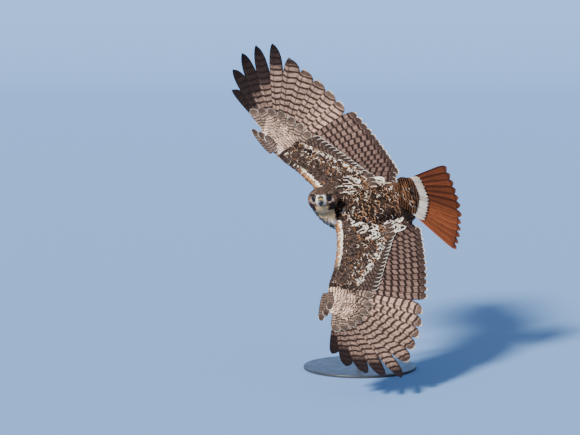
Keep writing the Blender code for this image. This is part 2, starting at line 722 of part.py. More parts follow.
def shank(side, name, thigh_solid):
    """The bare scaled shank."""
    heel, foot = on_side(HEEL, side), on_side(FOOT, side)
    share = np.linspace(-0.10, 1.0, 6)
    path = [heel + (foot - heel) * t for t in share]
    radii = [SHANK_RADIUS * f for f in (1.0, 1.15, 0.95, 0.92, 1.05, 1.25)]
    return boolean(tube(name, path, radii, 10), [grown(thigh_solid)], "DIFFERENCE")


# Toes: yaw of each from straight back, its length and how strongly it curls under
TOES = ((-20.0, 0.030, 1.6), (2.0, 0.036, 1.6), (24.0, 0.030, 1.6), (180.0, 0.022, 1.8))


def toe_path(side, toe, steps=6):
    """Points along one clenched toe, and the direction at its end."""
    yaw, length, curl = TOES[toe]
    foot = on_side(FOOT, side)
    flat = np.array([-math.cos(math.radians(yaw)), side * math.sin(math.radians(yaw)), 0.0])
    down = np.array([0.0, 0.0, -1.0])
    points = [foot + flat * 0.002]
    for step in range(steps - 1):
        turn = curl * (step + 0.5) / (steps - 1)
        points.append(points[-1] + (flat * math.cos(turn) + down * math.sin(turn)) * length / (steps - 1))
    return np.array(points), flat, down, curl


def foot(side, name, shank_solid):
    """Four clenched toes on their pad."""
    pad = ball(name, on_side(FOOT, side), (0.009, 0.008, 0.007), 6, 9)
    toes = []
    for toe in range(len(TOES)):
        path, _, _, _ = toe_path(side, toe)
        radii = [TOE_RADIUS * f for f in (1.1, 1.1, 0.98, 1.08, 0.9, 0.8)]
        toes.append(tube(f"toe_{toe}", path + np.array([0.0, 0.0, 0.00007]) * toe, radii, 6))
    boolean(pad, toes, "UNION")
    return boolean(pad, [grown(shank_solid)], "DIFFERENCE")


def talon(side, toe, name, foot_solid):
    """One curved claw."""
    path, flat, down, curl = toe_path(side, toe)
    points = [path[-1] - (path[-1] - path[-2]) * 0.2]
    steps = 6
    for step in range(steps):
        turn = curl + 1.5 * (step + 0.5) / steps
        points.append(points[-1] + (flat * math.cos(turn) + down * math.sin(turn)) * TALON_LENGTH / steps)
    radii = [0.0030, 0.0029, 0.0025, 0.0020, 0.0014, 0.0009, 0.0003]
    claw = tube(name, points, radii, 6)
    return boolean(claw, [grown(foot_solid)], "DIFFERENCE")


# Stand
def stand_base():
    """A flat round base with a small bevel."""
    r, t, c = BASE_RADIUS, BASE_THICKNESS, BASE_BEVEL
    turn = np.arange(BASE_SIDES) * TAU / BASE_SIDES
    circle = np.stack([np.cos(turn), np.sin(turn), np.zeros(BASE_SIDES)], 1)
    rings = [circle * (r - c), circle * r + (0, 0, c), circle * r + (0, 0, t - c),
             circle * (r - c) + (0, 0, t)]
    return loft("stand_base", rings)


def stand_rod(trunk, pose):
    """The rod that rises from the base into the belly, cut to meet it."""
    turn = np.arange(16) * TAU / 16
    circle = np.stack([np.cos(turn), np.sin(turn), np.zeros(16)], 1) * ROD_RADIUS
    rod = loft("stand_rod", [circle + (0, 0, BASE_THICKNESS + GAP), circle + (0, 0, ROD_TOP)])
    cutter = grown(trunk)
    cutter.data.transform(pose)
    return boolean(rod, [cutter], "DIFFERENCE")


def main():
    """Build every node and pose the bird."""
    clear_scene()
    turn = Euler([math.radians(v) for v in (BANK, PITCH, HEADING)])
    pose = Matrix.Translation(Vector(SHOULDERS_AT)) @ turn.to_matrix().to_4x4()
    hawk = bpy.data.objects.new("hawk_pose", None)
    hawk.location = SHOULDERS_AT
    hawk.rotation_euler = turn
    bpy.context.scene.collection.objects.link(hawk)

    parts = []
    trunk = torso()
    eyes = [eye(1.0, "eye_left"), eye(-1.0, "eye_right")]
    skull = head(eyes)
    throat = neck(skull)
    parts += [(trunk, "brown_feather"), (skull, "brown_feather"), (throat, "brown_feather")]
    parts += [(eyeball, "eye") for eyeball in eyes]
    parts += [(boolean(tail(), [grown(trunk)], "DIFFERENCE"), "red_feather")]
    for side in ("left", "right"):
        hand = wing_hand(side)
        arm = boolean(wing_arm(side), [grown(trunk), grown(throat)], "DIFFERENCE")
        thumb = wing_alula(side, hand)
        parts += [(piece, "barred_feather") for piece in (arm, hand, thumb)]
    for sign, side in ((1.0, "left"), (-1.0, "right")):
        upper_leg = thigh(sign, f"thigh_{side}", trunk)
        lower_leg = shank(sign, f"shank_{side}", upper_leg)
        toes = foot(sign, f"foot_{side}", lower_leg)
        parts += [(upper_leg, "pale_feather"), (lower_leg, "leg"), (toes, "leg")]
        for toe in range(len(TOES)):
            parts.append((talon(sign, toe, f"talon_{side}_{toe + 1}", toes), "horn"))
    cere, upper, lower = bill_parts()
    boolean(skull, [grown(cere), grown(lower)], "DIFFERENCE")
    parts += [(cere, "cere"), (upper, "horn"), (lower, "horn")]
    for thing, slot in parts:
        finish(thing, slot)
        thing.parent = hawk

    finish(stand_base(), "stand")
    finish(stand_rod(trunk, pose), "stand")


main()
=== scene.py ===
# %% [markdown]
# A red-tailed hawk in a banked turn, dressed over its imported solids.
# The solids give the true size and pose. This file puts the plumage, the face and the feet over them.
# Everything is worked out in the bird's own frame (+X to the bill, +Y to its left, +Z out of its back) and
# only at the end carried into the world, so that one pose moves every feather.

# %% Frame
import math

import bpy
import numpy as np
from mathutils import Euler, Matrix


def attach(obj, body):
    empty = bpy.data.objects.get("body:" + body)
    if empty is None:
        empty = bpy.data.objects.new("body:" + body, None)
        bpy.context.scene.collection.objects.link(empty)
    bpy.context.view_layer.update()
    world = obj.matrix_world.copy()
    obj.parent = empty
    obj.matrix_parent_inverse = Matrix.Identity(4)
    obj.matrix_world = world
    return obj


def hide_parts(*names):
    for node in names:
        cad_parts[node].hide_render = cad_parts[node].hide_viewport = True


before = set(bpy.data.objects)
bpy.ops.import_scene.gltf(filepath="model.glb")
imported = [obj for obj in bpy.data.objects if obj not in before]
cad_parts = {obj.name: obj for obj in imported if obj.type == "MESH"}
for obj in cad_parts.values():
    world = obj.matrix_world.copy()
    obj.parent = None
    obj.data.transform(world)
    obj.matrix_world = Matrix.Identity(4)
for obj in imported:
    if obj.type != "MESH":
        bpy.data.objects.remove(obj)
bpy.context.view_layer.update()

TAU = 2.0 * math.pi
WAYS = {"left": 1.0, "right": -1.0}

# %% [markdown]
# The camera stands ten metres off with a long lens, so there is almost no perspective. One picture of 580 by
# 435 is 1.74 m wide at the bird: 3 mm to a pixel.

# %% Camera
CAMERA_TARGET = (-0.2111, -0.0273, 0.4640)
CAMERA_DISTANCE, CAMERA_ELEVATION = 10.0, 8.0
PICTURE_WIDTH, SENSOR_WIDTH = 1.74, 36.0


def make_camera():
    """A long lens: focal length is sensor width times distance over the width it has to show."""
    data = bpy.data.cameras.new("camera")
    data.sensor_width = SENSOR_WIDTH
    data.lens = SENSOR_WIDTH * CAMERA_DISTANCE / PICTURE_WIDTH
    data.clip_end = 100.0
    camera = bpy.data.objects.new("camera", data)
    tilt = math.radians(CAMERA_ELEVATION)
    x, y, z = CAMERA_TARGET
    camera.location = (x, y - CAMERA_DISTANCE * math.cos(tilt), z + CAMERA_DISTANCE * math.sin(tilt))
    camera.rotation_euler = (math.radians(90.0) - tilt, 0.0, 0.0)
    bpy.context.scene.collection.objects.link(camera)
    bpy.context.scene.camera = camera
    print("camera lens", round(data.lens, 1), "mm")


make_camera()

# %% [markdown]
# The pose. Three angles bank, pitch and turn the whole bird. A wing starts as a flat plan (outward, forward),
# its hand bends upward along one line, and then the wing is swept, raised and tilted.

# %% Pose of the bird
SHOULDERS_AT = np.array([-0.020, -0.025, 0.480])
BANK, PITCH, HEADING = -53.2, 13.9, -167.6
SHOULDER_Y, WING_Z = 0.035, 0.004
BEND_LINE = 33.6
HAND_RISE, HAND_RISE_FROM, HAND_RISE_TO = 10.8, 0.234, 0.339
TIP_CURL, TIP_CURL_FROM, TIP_CURL_OVER = 61.9, 0.496, 0.120
WING_POSE = {"right": (-2.8, -5.8, 3.4), "left": (1.1, 6.5, 6.7)}


def turning(roll, pitch, yaw):
    """The 3x3 matrix of three turns in degrees, about X, then Y, then Z."""
    return np.array(Euler([math.radians(v) for v in (roll, pitch, yaw)]).to_matrix())


BIRD_TURN = turning(BANK, PITCH, HEADING)


def in_world(points):
    """Points of the bird's frame in the world: turned by the pose and moved to the shoulders."""
    return points @ BIRD_TURN.T + SHOULDERS_AT


def fade(value, low, high):
    """A smooth step from 0 at low to 1 at high: three t squared less two t cubed."""
    t = np.clip((np.asarray(value, float) - low) / (high - low), 0.0, 1.0)
    return t * t * (3 - 2 * t)


def bend_table():
    """The bent wing's profile: slope grows as a smooth step over the hand and as a power of 1.5 at the tips.

    Out and up are the running sums of the slope's cosine and sine.
    """
    length = np.linspace(-0.3, 0.8, 1101)
    curl = np.clip((length - TIP_CURL_FROM) / TIP_CURL_OVER, 0.0, 2.0)
    slope = np.radians(HAND_RISE * fade(length, HAND_RISE_FROM, HAND_RISE_TO) + TIP_CURL * curl**1.5)
    step = length[1] - length[0]
    out, up = (np.concatenate([[0.0], np.cumsum(part(slope[:-1]) * step)]) for part in (np.cos, np.sin))
    return length, length[0] + out, up, slope


BEND = bend_table()


def turned_by(a, b, angle):
    """Two coordinates turned by degrees: a cosine less b sine, and a sine plus b cosine."""
    c, s = math.cos(math.radians(angle)), math.sin(math.radians(angle))
    return a * c - b * s, a * s + b * c


def wing_point(plan, height, side):
    """Plan points raised off the wing: the distance along the bend line is looked up in the profile, and
    height goes square to it; then three plane turns give sweep, dihedral and incidence."""
    along, across = turned_by(plan[..., 0], plan[..., 1], -BEND_LINE)
    length, out_table, up_table, slope_table = BEND
    slope = np.interp(along, length, slope_table)
    far = np.interp(along, length, out_table) - height * np.sin(slope)
    up = np.interp(along, length, up_table) + height * np.cos(slope)
    out, forward = turned_by(far, across, BEND_LINE)
    sweep, dihedral, incidence = WING_POSE[side]
    out, forward = turned_by(out, forward, sweep)
    out, up = turned_by(out, up, dihedral)
    forward, up = turned_by(forward, up, incidence)
    return np.stack([forward, WAYS[side] * (SHOULDER_Y + out), WING_Z + up], -1)


# %% [markdown]
# Feathers lie on sheets. A sheet is a dense grid of points with a normal at each, such as the trunk
# seen as stations along it and an angle round it. A feather's own flat shape is laid out from its root
# in steps along and round the sheet, so that it hugs the body however the body curves. A placer is the
# function that does it.

# %% Sheets
SHEET_SIDES = 96


def with_normals(grid):
    """A sheet from a grid: each normal is the cross product of its two directions, turned outward."""
    along = np.gradient(grid, axis=0)
    around = (np.roll(grid, -1, axis=1) - np.roll(grid, 1, axis=1)) / 2
    normal = np.cross(around, along)
    normal /= np.linalg.norm(normal, axis=-1, keepdims=True) + 1e-12
    if (normal * (grid - grid.mean(1, keepdims=True))).sum() < 0:
        normal = -normal
    return {"points": grid, "normals": normal, "along": np.linalg.norm(along, axis=-1),
            "around": np.linalg.norm(around, axis=-1)}


def read_sheet(field, s, t):
    """A grid read between its points: linear in both ways, wrapped round, run straight on past its ends."""
    rows, sides = field.shape[:2]
    i, j = np.clip(np.floor(s).astype(int), 0, rows - 2), np.floor(t).astype(int)
    a, b = s - i, t - j
    if field.ndim == 3:
        a, b = a[..., None], b[..., None]
    j0, j1 = j % sides, (j + 1) % sides
    return ((field[i, j0] * (1 - a) + field[i + 1, j0] * a) * (1 - b)
            + (field[i, j1] * (1 - a) + field[i + 1, j1] * a) * b)


def in_plan(root, angle, p, q):
    """Plan points of feathers: p along the lay and q across it, turned by angle in radians about the root."""
    c, s = np.cos(angle)[:, None, None], np.sin(angle)[:, None, None]
    return np.stack([root[:, 0, None, None] + p * c - q * s, root[:, 1, None, None] + p * s + q * c], -1)


def on_sheet(sheet):
    """A placer for feathers on a sheet: steps are divided by the sheet's own spacing at the root, and h goes
    out along the normal."""
    def place(root, angle, p, q, h):
        step = in_plan(root * 0.0, angle, p, q)
        s, t = (root[:, k, None, None] + step[..., k] / read_sheet(sheet[way], *root.T)[:, None, None]
                for k, way in enumerate(("along", "around")))
        normal = read_sheet(sheet["normals"], np.clip(s, 0, len(sheet["points"]) - 1), t)
        return read_sheet(sheet["points"], s, t) + normal * h[..., None]

    return place


def smooth_table(table, refine):
    """More rows through a table of sizes, or of whole rings, by a cubic through its rows."""
    table = np.asarray(table, float)
    slopes = np.gradient(table, axis=0)
    rows = []
    for i in range(len(table) - 1):
        for t in np.arange(refine) / refine:
            rows.append(table[i] * (2 * t**3 - 3 * t**2 + 1) + slopes[i] * (t**3 - 2 * t**2 + t)
                        + table[i + 1] * (3 * t**2 - 2 * t**3) + slopes[i + 1] * (t**3 - t**2))
    return np.array(rows + [table[-1]])


def circle(sides):
    """Angles in equal steps round a full turn."""
    return np.arange(sides) * TAU / sides


def oval(x, half_width, top, bottom, sides=SHEET_SIDES, lift=0.0):
    """A ring across X: one ellipse above the axis and another below it."""
    turn = circle(sides)
    z = np.where(np.sin(turn) >= 0.0, top, -bottom) * np.sin(turn)
    return np.stack([np.full(sides, x), half_width * np.cos(turn), z + lift], 1)


# %% [markdown]
# The flesh. The trunk, the neck, the head and the thighs repeat the named sizes of the solids. The head gets
# the hollow round each eye and the heavy brow over it, which give a hawk its stare.

# %% Trunk, neck, head and thighs as sheets
TRUNK = ((0.060, 0.034, 0.020, -0.040), (0.045, 0.045, 0.028, -0.058), (0.020, 0.055, 0.033, -0.074),
         (-0.010, 0.059, 0.035, -0.081), (-0.045, 0.058, 0.035, -0.078), (-0.080, 0.055, 0.034, -0.069),
         (-0.110, 0.053, 0.034, -0.056), (-0.135, 0.052, 0.034, -0.042), (-0.152, 0.050, 0.034, -0.030))
NECK_END, NECK_END_LIFT = (-0.006, 0.034, 0.025, -0.032), -0.004
NECK_LIFT, NECK_SWELL = 0.35 * np.array([0.034, -0.004, 0.006]), 0.16
HEAD_AT, HEAD_TURN = np.array([0.090, -0.034, 0.072]), turning(20.0, -52.0, 53.1)
HEAD = ((-0.044, 0.014, 0.013, -0.014), (-0.038, 0.028, 0.023, -0.028), (-0.023, 0.040, 0.033, -0.037),
        (-0.006, 0.0445, 0.0355, -0.040), (0.008, 0.0405, 0.0335, -0.0375), (0.0180, 0.0310, 0.0275, -0.0310),
        (0.0265, 0.0195, 0.0195, -0.0225), (0.0330, 0.0115, 0.0120, -0.0140))
EYE_AT, EYE_RADIUS = np.array([0.0185, 0.0195, 0.0060]), 0.0105
BROW_RISE, BROW_AT, BROW_SPREAD, BROW_WIDTH = 0.0034, (0.003, 0.0100), (0.013, 0.0030), 0.95
SOCKET_DEPTH, SOCKET_RING, SOCKET_WIDTH = 0.0022, 0.0050, 0.0060
TAIL_AT, TAIL_TURN = np.array([-0.154, -0.004, 0.023]), turning(3.0, -33.0, -15.5)
HIP, HEEL, FOOT = (-0.085, 0.034, -0.052), (-0.128, 0.030, -0.066), (-0.176, 0.024, -0.058)
THIGH_RADII, THIGH_FROM = (0.006, 0.017, 0.023, 0.026, 0.025, 0.021, 0.014, 0.0085), -0.55


def mirrored(point, way):
    """A point on the left side, or its mirror image on the right side when way is -1."""
    return np.array(point) * (1.0, way, 1.0)


def in_head(points):
    """Points of the head's own frame in the bird's frame."""
    return np.asarray(points) @ HEAD_TURN.T + HEAD_AT


def from_head(points):
    """Points of the bird's frame in the head's own frame."""
    return (points - HEAD_AT) @ HEAD_TURN


def in_tail(points):
    """Points of the tail's own frame in the bird's frame."""
    return np.asarray(points) @ TAIL_TURN.T + TAIL_AT


def matched(start, end):
    """The end ring's points in the order that twists a loft from start to end the least."""
    count = len(start)
    orders = [(way * np.arange(count) + shift) % count for way in (1, -1) for shift in range(count)]
    return end[min(orders, key=lambda order: ((start - start.mean(0)
                                               - (end[order] - end.mean(0))) ** 2).sum())]


def neck_grid(rings=25):
    """The neck: a straight blend of the trunk's front ring into a ring in the head, lifted and swollen in
    the middle by a parabola."""
    start = oval(*TRUNK[0])
    end = matched(start, in_head(oval(*NECK_END, lift=NECK_END_LIFT)))
    t = np.linspace(0.0, 1.0, rings)[:, None, None]
    bulge = 4 * t * (1 - t)
    ring = start * (1 - t) + end * t + NECK_LIFT * bulge
    middle = ring.mean(1, keepdims=True)
    return middle + (ring - middle) * (1.0 + NECK_SWELL * bulge)


def bell(distance, width):
    """A round bump that falls off as a Gaussian."""
    return np.exp(-((distance / width) ** 2))


def head_own_grid():
    """The head in its own frame: ovals, pushed out over each eye for the brow and in round it."""
    sheet = with_normals(np.array([oval(*row) for row in smooth_table(HEAD, 6)]))
    grid = sheet["points"]
    push = np.zeros(grid.shape[:2])
    for way in WAYS.values():
        flat = grid - mirrored(EYE_AT, way)
        rim = np.linalg.norm(flat, axis=-1)
        over_eye = np.hypot((flat[..., 0] - BROW_AT[0]) / BROW_SPREAD[0],
                            (flat[..., 2] - BROW_AT[1]) / BROW_SPREAD[1])
        push += (grid[..., 1] * way > 0.0) * (BROW_RISE * bell(over_eye, BROW_WIDTH)
                                              - SOCKET_DEPTH * bell(rim - SOCKET_RING, SOCKET_WIDTH))
    outward = sheet["normals"] * np.sign((sheet["normals"] * grid).sum(-1, keepdims=True))
    return grid + outward * push[..., None]


def square_to(direction):
    """Unit vectors along a direction, level and square to it, and square to both."""
    direction = direction / np.linalg.norm(direction, axis=-1, keepdims=True)
    side = np.cross(direction, (0.0, 0.0, 1.0))
    side /= np.linalg.norm(side, axis=-1, keepdims=True)
    return direction, side, np.cross(side, direction)


def tube_grid(path, radii, sides=SHEET_SIDES):
    """Rings of given radii square to a path: radius times cosine one way and sine the other."""
    path, radii = np.asarray(path, float), np.asarray(radii, float)
    _, side, up = square_to(np.gradient(path, axis=0))
    t = circle(sides)[None, :, None]
    return path[:, None] + radii[:, None, None] * (np.cos(t) * side[:, None] + np.sin(t) * up[:, None])


def thigh_grid(way):
    """A thigh: a tube from inside the trunk to the heel."""
    hip, heel = mirrored(HIP, way), mirrored(HEEL, way)
    share = np.linspace(THIGH_FROM, 1.0, 36)
    radii = np.interp(share, np.linspace(THIGH_FROM, 1.0, len(THIGH_RADII)), THIGH_RADII)
    return tube_grid(hip + (heel - hip) * share[:, None], radii)


HEAD_OWN = head_own_grid()
TRUNK_SHEET = with_normals(np.array([oval(*row) for row in smooth_table(TRUNK, 5)]))
NECK_SHEET, HEAD_SHEET = with_normals(neck_grid()), with_normals(in_head(HEAD_OWN))
THIGH_SHEETS = {side: with_normals(thigh_grid(way)) for side, way in WAYS.items()}
print("rings in trunk, neck and head", [len(s["points"]) for s in (TRUNK_SHEET, NECK_SHEET, HEAD_SHEET)])

# %% [markdown]
# The fleshy wing is known by stations: the front and the back of its section in the plan, and a scale for its
# thickness. It is written once into a small height map over the plan, which every covert then reads.

# %% Wing flesh as a height map
WING_TOP = ((0.0, 0.0), (0.06, 0.0065), (0.20, 0.0110), (0.38, 0.0130), (0.55, 0.0120), (0.75, 0.0085),
            (0.90, 0.0052), (1.0, 0.0034))
WING_UNDER = ((0.0, 0.0), (0.06, 0.0048), (0.25, 0.0080), (0.50, 0.0078), (0.80, 0.0052), (1.0, 0.0030))
STATIONS = (((-0.015, 0.070), (-0.015, -0.055), 1.35), ((0.030, 0.079), (0.030, -0.058), 1.25),
            ((0.072, 0.092), (0.085, -0.054), 1.10), ((0.112, 0.109), (0.135, -0.012), 1.0),
            ((0.147, 0.127), (0.172, 0.030), 0.95), ((0.176, 0.145), (0.205, 0.070), 0.90),
            ((0.1965, 0.1590), (0.2310, 0.1038), 0.85), ((0.232, 0.176), (0.264, 0.110), 0.85),
            ((0.262, 0.186), (0.300, 0.127), 0.80), ((0.288, 0.189), (0.322, 0.151), 0.65),
            ((0.306, 0.186), (0.330, 0.168), 0.45))
FRONTS, BACKS, THICKS = (np.array(column) for column in zip(*STATIONS))
WRIST_STATION, LAST_STATION = 6, len(STATIONS) - 1
MAP_STEP, MAP_FROM, MAP_SIZE = 0.002, np.array([-0.10, -0.30]), (330, 330)


def by_station(table, s):
    """A table of one value for each station, read between the stations."""
    return np.interp(s, np.arange(len(STATIONS)), table)


def station_at(s, c):
    """Plan point at station s (0 at the shoulder) and share c of the way from the front to the back."""
    front, back = (np.stack([by_station(table[:, k], s) for k in (0, 1)], -1) for table in (FRONTS, BACKS))
    return front + (back - front) * np.asarray(c)[..., None]


def height_map(section):
    """Height of the flesh over the plan: the section's height at each station, dropped into cells and then
    blurred five times with its four neighbours."""
    s, c = np.meshgrid(np.linspace(0, LAST_STATION, 900), np.linspace(0, 1, 300), indexing="ij")
    cell = np.round((station_at(s, c) - MAP_FROM) / MAP_STEP).astype(int)
    field = np.zeros(MAP_SIZE)
    np.maximum.at(field, (cell[..., 0], cell[..., 1]), np.interp(c, *np.array(section).T)
                  * by_station(THICKS, s))
    for _ in range(5):
        field = (field * 2 + sum(np.roll(field, step, axis) for axis in (0, 1) for step in (1, -1))) / 6
    return field


FLESH = {"top": height_map(WING_TOP), "under": height_map(WING_UNDER)}
print("flesh stands at most", {face: round(float(field.max()), 4) for face, field in FLESH.items()},
      "m off the plan")


def on_wing(side, face="top", floor=0.0):
    """A placer for feathers on one face of a wing: h stands over the flesh, or over floor if that is more."""
    def place(root, angle, p, q, h):
        plan = in_plan(root, angle, p, q)
        at = np.clip((plan - MAP_FROM) / MAP_STEP, 0, np.array(MAP_SIZE) - 1.001)
        base = np.maximum(read_sheet(FLESH[face], at[..., 0], at[..., 1]), floor)
        return wing_point(plan, (base + h) * (1.0 if face == "top" else -1.0), side)

    return place


def bare_wing(side):
    """A placer for the flight feathers: h is the height off the wing's middle surface."""
    return lambda root, angle, p, q, h: wing_point(in_plan(root, angle, p, q), h, side)


def in_tail_plan(root, angle, p, q, h):
    """A placer for the tail's own feathers: the plan is (sideways, backward) and h goes up."""
    plan = in_plan(root, angle, p, q)
    return in_tail(np.stack([-plan[..., 1], plan[..., 0], np.broadcast_to(h, plan.shape[:-1])], -1))


# %% [markdown]
# One function makes every feather of a batch at once. A small body feather is a lens: a cupped top of a few
# columns, closed below by one strip between its edges. A flight feather is a plate with a real thickness and
# a raised shaft. The same function gives each point where it lies on its feather, for the markings.

# %% Feather maker
BATCH = ("vane", "size", "ground", "edge", "marks")
LENS_ACROSS = (-1.0, -0.5, 0.0, 0.5, 1.0)


def round_outline(u):
    """Half width along a body feather: a quick swell, then a round tip."""
    return (0.38 + 0.62 * fade(u, 0.0, 0.42)) * np.sqrt(1.0 - 0.97 * np.clip((u - 0.58) / 0.42, 0, 1) ** 2.6)


def pointed_outline(u):
    """Half width along a hackle: widest near a third, then a long taper."""
    return (0.38 + 0.62 * fade(u, 0.0, 0.35)) * (1.0 - 0.93 * np.clip((u - 0.35) / 0.65, 0, 1) ** 1.7)


def quill_outline(u):
    """Half width along a secondary or inner primary: nearly parallel, with a blunt round tip."""
    return np.interp(u, (0.0, 0.16, 0.45, 0.82, 0.92, 0.965, 0.99, 1.0),
                     (0.40, 0.85, 1.00, 0.95, 0.78, 0.54, 0.28, 0.05))


def finger_outline(u):
    """Half width along an outer primary: it narrows past the middle and ends in a blade's point."""
    return np.interp(u, (0.0, 0.18, 0.42, 0.55, 0.65, 0.74, 0.82, 0.88, 0.93, 0.965, 0.985, 1.0),
                     (0.40, 0.92, 0.98, 1.00, 1.00, 0.98, 0.94, 0.86, 0.72, 0.53, 0.35, 0.05))


def squares(number, down=0, round_it=0):
    """Squares between the rows and columns of a grid of point numbers, which down or round_it closes."""
    number = np.pad(number, ((0, down), (0, round_it)), mode="wrap")
    return np.stack([number[:-1, :-1], number[1:, :-1], number[1:, 1:], number[:-1, 1:]], -1).reshape(-1, 4)


def grid_faces(rows, columns, plate):
    """Faces of one feather: the top's squares, and below them the under side's, with what closes the rim."""
    number = np.arange(rows * columns).reshape(rows, columns)
    if not plate:
        strip = np.stack([number[:-1, 0], number[:-1, -1], number[1:, -1], number[1:, 0]], -1)
        return np.vstack([squares(number), strip]), np.array([number[0], number[-1, ::-1]])
    under = number + rows * columns
    rim = []
    for a, b, order in ((number[:, 0], under[:, 0], 1), (number[:, -1], under[:, -1], -1),
                        (number[0], under[0], -1), (number[-1], under[-1], 1)):
        rim.append(np.stack([a[:-1], b[:-1], b[1:], a[1:]], -1)[:, ::order])
    return np.vstack([squares(number), squares(under)[:, [0, 3, 2, 1]]] + rim), np.zeros((0, columns), int)


def volume(points, faces):
    """Six times the volume inside: for each triangle, one corner times the cross product of the other two."""
    corner = [points[..., faces[:, k], :] for k in range(faces.shape[1])]
    return sum((corner[0] * np.cross(corner[k], corner[k + 1])).sum() for k in range(1, len(corner) - 1))


def feathers(place, root, angle, length, lead, trail=None, outline=round_outline, *, ground, edge, marks,
             seed, patch, lift=0.0, rise=0.0, tilt=0.0, cup=0.0012, curve=0.0, rows=6, across=LENS_ACROSS,
             plate=0.0, shaft=0.0, fray=0.03, under=None):
    """A batch of feathers. Along each u runs from 0 at the root to 1 at the tip, across it v from -1 to 1.

    The shaft turns by curve times u squared, so its side step is length times curve times u cubed over 3.
    Half width is lead or trail times the outline of u. Height is lift, plus rise times u, plus tilt times v,
    plus cup times (1 - v squared). A plate gets a second face below, a lens is closed by a strip.
    """
    draw = np.random.default_rng(seed)
    root = np.asarray(root, float)
    n = len(root)
    full = lambda value: np.broadcast_to(np.asarray(value, float), (n,))[:, None, None]
    lead, trail = full(lead), full(lead if trail is None else trail)
    span, curve = full(length), np.radians(full(curve))
    angle = full(angle)[:, 0, 0]
    u = (np.linspace(0.0, 1.0, rows) ** 0.85)[None, :, None]
    v = np.asarray(across, float)[None, None, :]
    middle = np.abs(v) < 0.01
    turn = curve * u**2
    q = np.where(v > 0, lead, trail) * v * outline(u)
    ragged = 1.0 + fray * draw.uniform(-1.0, 1.0, (n, 1, len(across))) * (u > 0.55) * (np.abs(v) < 0.99)
    p_turned = span * u * ragged + q * np.sin(turn)
    q_turned = q * np.cos(turn) - span * curve * u**3 / 3.0
    h = full(lift) + full(rise) * u + full(tilt) * v + full(cup) * (1.0 - v**2) * (0.4 + 0.6 * outline(u))
    h = h + middle * shaft * (1.0 - 0.8 * u)
    layers = [place(root, angle, p_turned, q_turned, h + plate / 2)]
    if plate:
        layers.append(place(root, angle, p_turned, q_turned, h - plate / 2 - 0.3 * shaft * middle))
    points = np.stack(layers, 1).reshape(n, -1, 3)
    quads, caps = grid_faces(rows, len(across), bool(plate))
    if volume(points, quads) < 0:
        quads, caps = quads[:, ::-1], caps[:, ::-1]
    shift = (np.arange(n) * points.shape[1])[:, None, None]
    grid = (n, len(layers), rows, len(across))
    wide = lambda value: np.broadcast_to(np.asarray(value, float), (n, 3))[:, None, None]
    fill = lambda *values: np.stack([np.broadcast_to(value, grid) for value in values], -1)
    own = draw.uniform(0.0, 1.0, n)[:, None, None, None]
    below = np.arange(len(layers))[None, :, None, None]
    u, v = u[:, None], v[:, None]
    facts = {"vane": fill(u, v, own), "size": fill(span[:, None], np.maximum(lead, trail)[:, None], below)}
    for number, (name, value) in enumerate((("ground", ground), ("edge", edge), ("marks", marks))):
        facts[name] = np.broadcast_to(wide(value)[:, None], (*grid, 3)).copy()
        if under is not None:
            facts[name][:, 1] = wide(under[number])
    left, bottom, *box = (column[:, None, None, None] for column in np.asarray(patch, float).T)
    if box:
        bake = fill(left + box[0] * (0.02 + 0.96 * u), bottom + box[1] * (0.25 + 0.5 * below + 0.23 * v))
    else:
        bake = fill(left + 0.003 * (u - 0.5), bottom + 0.0015 * v)
    return {"points": points.reshape(-1, 3), "quads": (quads[None] + shift).reshape(-1, 4),
            "caps": (caps[None] + shift).reshape(-1, caps.shape[1]), "bake": bake.reshape(-1, 2),
            **{key: facts[key].reshape(-1, 3) for key in BATCH}}


def mesh_piece(name, points, faces, smooth=50.0):
    """A mesh object at the origin from world points and lists of faces of one size each."""
    mesh = bpy.data.meshes.new(name)
    faces = [np.asarray(group, int) for group in faces if len(group)]
    totals = np.concatenate([np.full(len(group), group.shape[1]) for group in faces])
    corners = np.concatenate([group.ravel() for group in faces])
    mesh.vertices.add(len(points))
    mesh.vertices.foreach_set("co", np.asarray(points, np.float32).ravel())
    mesh.loops.add(len(corners))
    mesh.loops.foreach_set("vertex_index", corners.astype(np.int32))
    mesh.polygons.add(len(totals))
    mesh.polygons.foreach_set("loop_start", np.concatenate([[0], np.cumsum(totals)[:-1]]).astype(np.int32))
    mesh.update(calc_edges=True)
    mesh.validate()
    mesh.shade_smooth()
    mesh.set_sharp_from_angle(angle=math.radians(smooth))
    piece = bpy.data.objects.new(name, mesh)
    bpy.context.scene.collection.objects.link(piece)
    return piece


def write_fact(mesh, name, values):
    """Writes one vector for each point of a mesh as a named attribute."""
    layer = mesh.attributes.new(name, "FLOAT_VECTOR", "POINT")
    layer.data.foreach_set("vector", np.asarray(values, np.float32).ravel())


def dress(piece, material, nodes=()):
    """Gives a piece its material, its body and the nodes it stands for."""
    piece.data.materials.clear()
    piece.data.materials.append(material)
    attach(piece, "root")
    if nodes:
        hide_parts(*nodes)
    print(piece.name, "faces", len(piece.data.polygons))
    return piece


def feather_piece(name, batches, material, nodes=()):
    """Joins batches into one piece, with their facts as attributes and their places as the bake map."""
    start = np.cumsum([0] + [len(batch["points"]) for batch in batches])
    joined = {key: np.concatenate([batch[key] for batch in batches]) for key in ("points", "bake", *BATCH)}
    faces = [batch[kind] + shift for kind in ("quads", "caps") for batch, shift in zip(batches, start)]
    piece = mesh_piece(name, in_world(joined["points"]), faces)
    for key in BATCH:
        write_fact(piece.data, key, joined[key])
    corner = np.zeros(len(piece.data.loops), np.int32)
    piece.data.loops.foreach_get("vertex_index", corner)
    layer = piece.data.uv_layers.new(name="OFBake")
    layer.uv.foreach_set("vector", joined["bake"][corner].astype(np.float32).ravel())
    return dress(piece, material, nodes)


